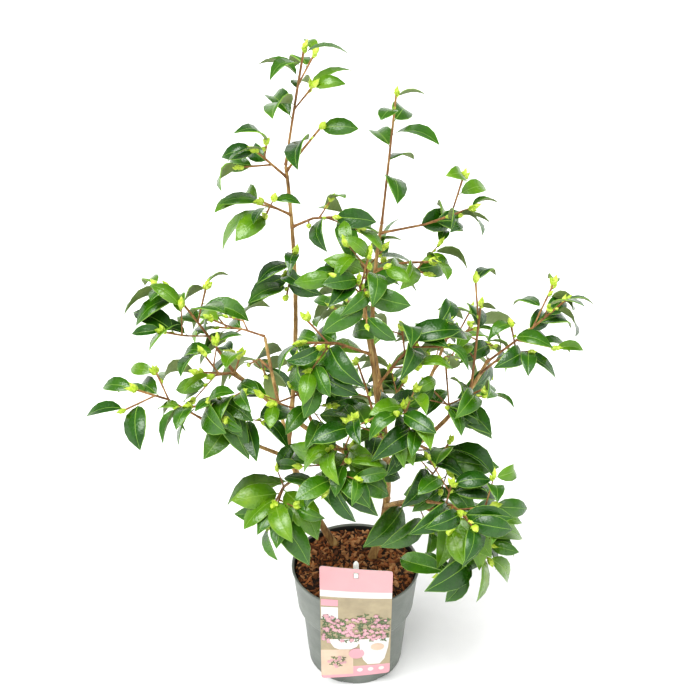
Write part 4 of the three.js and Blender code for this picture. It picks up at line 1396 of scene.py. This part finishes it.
IN_BAND, IN_HEAP, HEAP_STEP = 240, 18, 2.4
for spot in [(-29.5, 7, 9.5, 5, ROSE_PATCH, 0.1), (-29.5, -10, 9.5, 10, WHITE_PATCH, 0.1),
             (-12, -60, 18, 20, BOWL, 0.25), (21, -74, 17.5, 52, BOWL, 0.25), (25, -67, 8, 6.5, FRUIT, 0.35)]:
    print_at(*spot)
for i in range(IN_BAND):
    x = mix(-37, 37, deal())
    y = mix(-15 + 5 * math.sin(0.11 * x), -56, (i + 0.5) / IN_BAND)
    print_at(x, y, *[mix(2.0, 3.2, deal())] * 2, SPRIG, 0.4, deal() * TURN)
    if i % 5 < 2:
        print_at(x, y, *[mix(2.2, 3.4, deal())] * 2, BLOSSOM, 0.5, deal() * TURN)
for i in range(IN_HEAP):
    out, angle = HEAP_STEP * math.sqrt(i), i * DIVERGENCE
    print_at(-21 + out * math.cos(angle), -90 + out * math.sin(angle), 2.4, 2.4, BLOSSOM if i % 2 else SPRIG,
             0.3, deal() * TURN)
for spot in [(1, -77, 9, 9, SEAL, 0.5)] + [(x, -107, 3.4, 3.4, DOT, 0.12) for x in (5, 17.5, 30)]:
    print_at(*spot)
label_flowers = grow_by(setting_out_tree("set out print", 6), point_carrier("print_points", printed),
                        "label_flowers", Shapes=print_shelf, Size=MM,
                        **{f"Finish_{i}": made for i, made in enumerate(PRINT_INKS)})

# %% [markdown]
# ## The stake
#
# The card hangs by its slot on a peg of a white plastic stake that stands in the mulch. Two outlines
# are given their depth, and their edges are rounded with a Bevel.

# %% Make the stake
stake_white = ink("stake_white", (0.82, 0.83, 0.80))
BAR = [(-3, -13), (3, -13), (3, 62.6), (1.6, 65.4), (0, 67), (-1.6, 65.4), (-3, 62.6)]
PEG = [(-2.25, 49), (2.25, 49), (2.25, 54.2), (1.2, 55), (-1.2, 55), (-2.25, 54.2)]
corners, faces = [], []
for outline, front, back in [(BAR, -5.2, -6.8), (PEG, 2.3, -5.6)]:
    faces += plate_faces(len(corners), len(outline))
    corners += [from_label_frame(x, y, z) for z in (front, back) for x, y in outline]
stake = face_outward(mesh_object("stake_blank", corners, faces, [stake_white]))
rounded = stake.modifiers.new("rounded edges", "BEVEL")
rounded.width, rounded.segments, rounded.limit_method = 0.35 * MM, 2, "ANGLE"
stake = settle(stake, "stake")
stake.data.set_sharp_from_angle(angle=math.radians(50))

# %% [markdown]
# ## Tie the pieces to the frame
#
# Every piece rides on the plant's one body and stands for nodes of the frame.

# %% Ride and replace
foliage_nodes = list(MASSES)
pieces = [
    (stems, "bark", list(LIMBS)), (twigs, "bark", foliage_nodes), (buds, "foliage", foliage_nodes),
    (pot, "pot", ["pot"]), (bed, "mulch", ["bark_mulch"]), (chips, "mulch", ["bark_mulch"]),
    (label_print, "label", ["label_card"]), (label_flowers, "label", ["label_card"]),
    (stake, "stake", ["label_stake"]),
] + [(piece, "foliage", foliage_nodes) for piece in leaf_pieces]
for piece, slot, nodes in pieces:
    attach(piece, "root")
    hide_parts(*nodes)
print("pieces:", [piece.name for piece, _, _ in pieces])

# %% [markdown]
# ## The studio
#
# A pale floor, two broad lamps, and a sky that is bright near the horizon and dimmer overhead. The
# waxed leaves mirror the key lamp and the horizon, so these set the gloss. The Standard view with a
# contrast look keeps the whites white and the greens strong.


# %% Floor and light
def soft_lamp(name, heading, height, spread, strength):
    """A broad lamp far off, at a heading and a height in degrees as seen from the plant."""
    data = bpy.data.lights.new(name, "SUN")
    data.angle, data.energy = math.radians(spread), strength
    placed(name, data).rotation_euler = (math.radians(90 - height), 0, math.radians(heading))


def studio_sky():
    world = bpy.data.worlds.new("studio_sky")
    world.use_nodes = True
    tree = world.node_tree
    way = lay(tree, "ShaderNodeTexCoord").outputs["Generated"]
    height = lay(tree, "ShaderNodeSeparateXYZ", Vector=way).outputs["Z"]
    strength = lay(tree, "ShaderNodeMapRange", Value=height, input_1=SKY["dims_from"], input_2=SKY["dim_at"],
                   input_3=SKY["horizon"], input_4=SKY["overhead"])
    background = tree.nodes["Background"].inputs
    tree.links.new(strength.outputs["Result"], background["Strength"])
    background["Color"].default_value = (1, 1, 1, 1)
    return world


SKY = {"horizon": 1.5, "overhead": 0.41, "dims_from": 0.10, "dim_at": 0.42}
FLOOR_REACH = 6000
floor_white = finish("studio_white", [(0.3, (0.91, 0.91, 0.91)), (0.7, (0.93, 0.93, 0.93))],
                     ink_pattern, (0.8, 0.9), 0.0001)
floor = mesh_object("studio_floor", [(FLOOR_REACH * x, FLOOR_REACH * y, 0) for x, y in square],
                    [(0, 1, 2, 3)], [floor_white], smooth=False)
soft_lamp("key_lamp", -40, 66, 42, 3.35)
soft_lamp("fill_lamp", 30, 50, 70, 0.95)
bpy.context.scene.world = studio_sky()
bpy.context.scene.view_settings.view_transform = "Standard"
bpy.context.scene.view_settings.look = "Medium High Contrast"
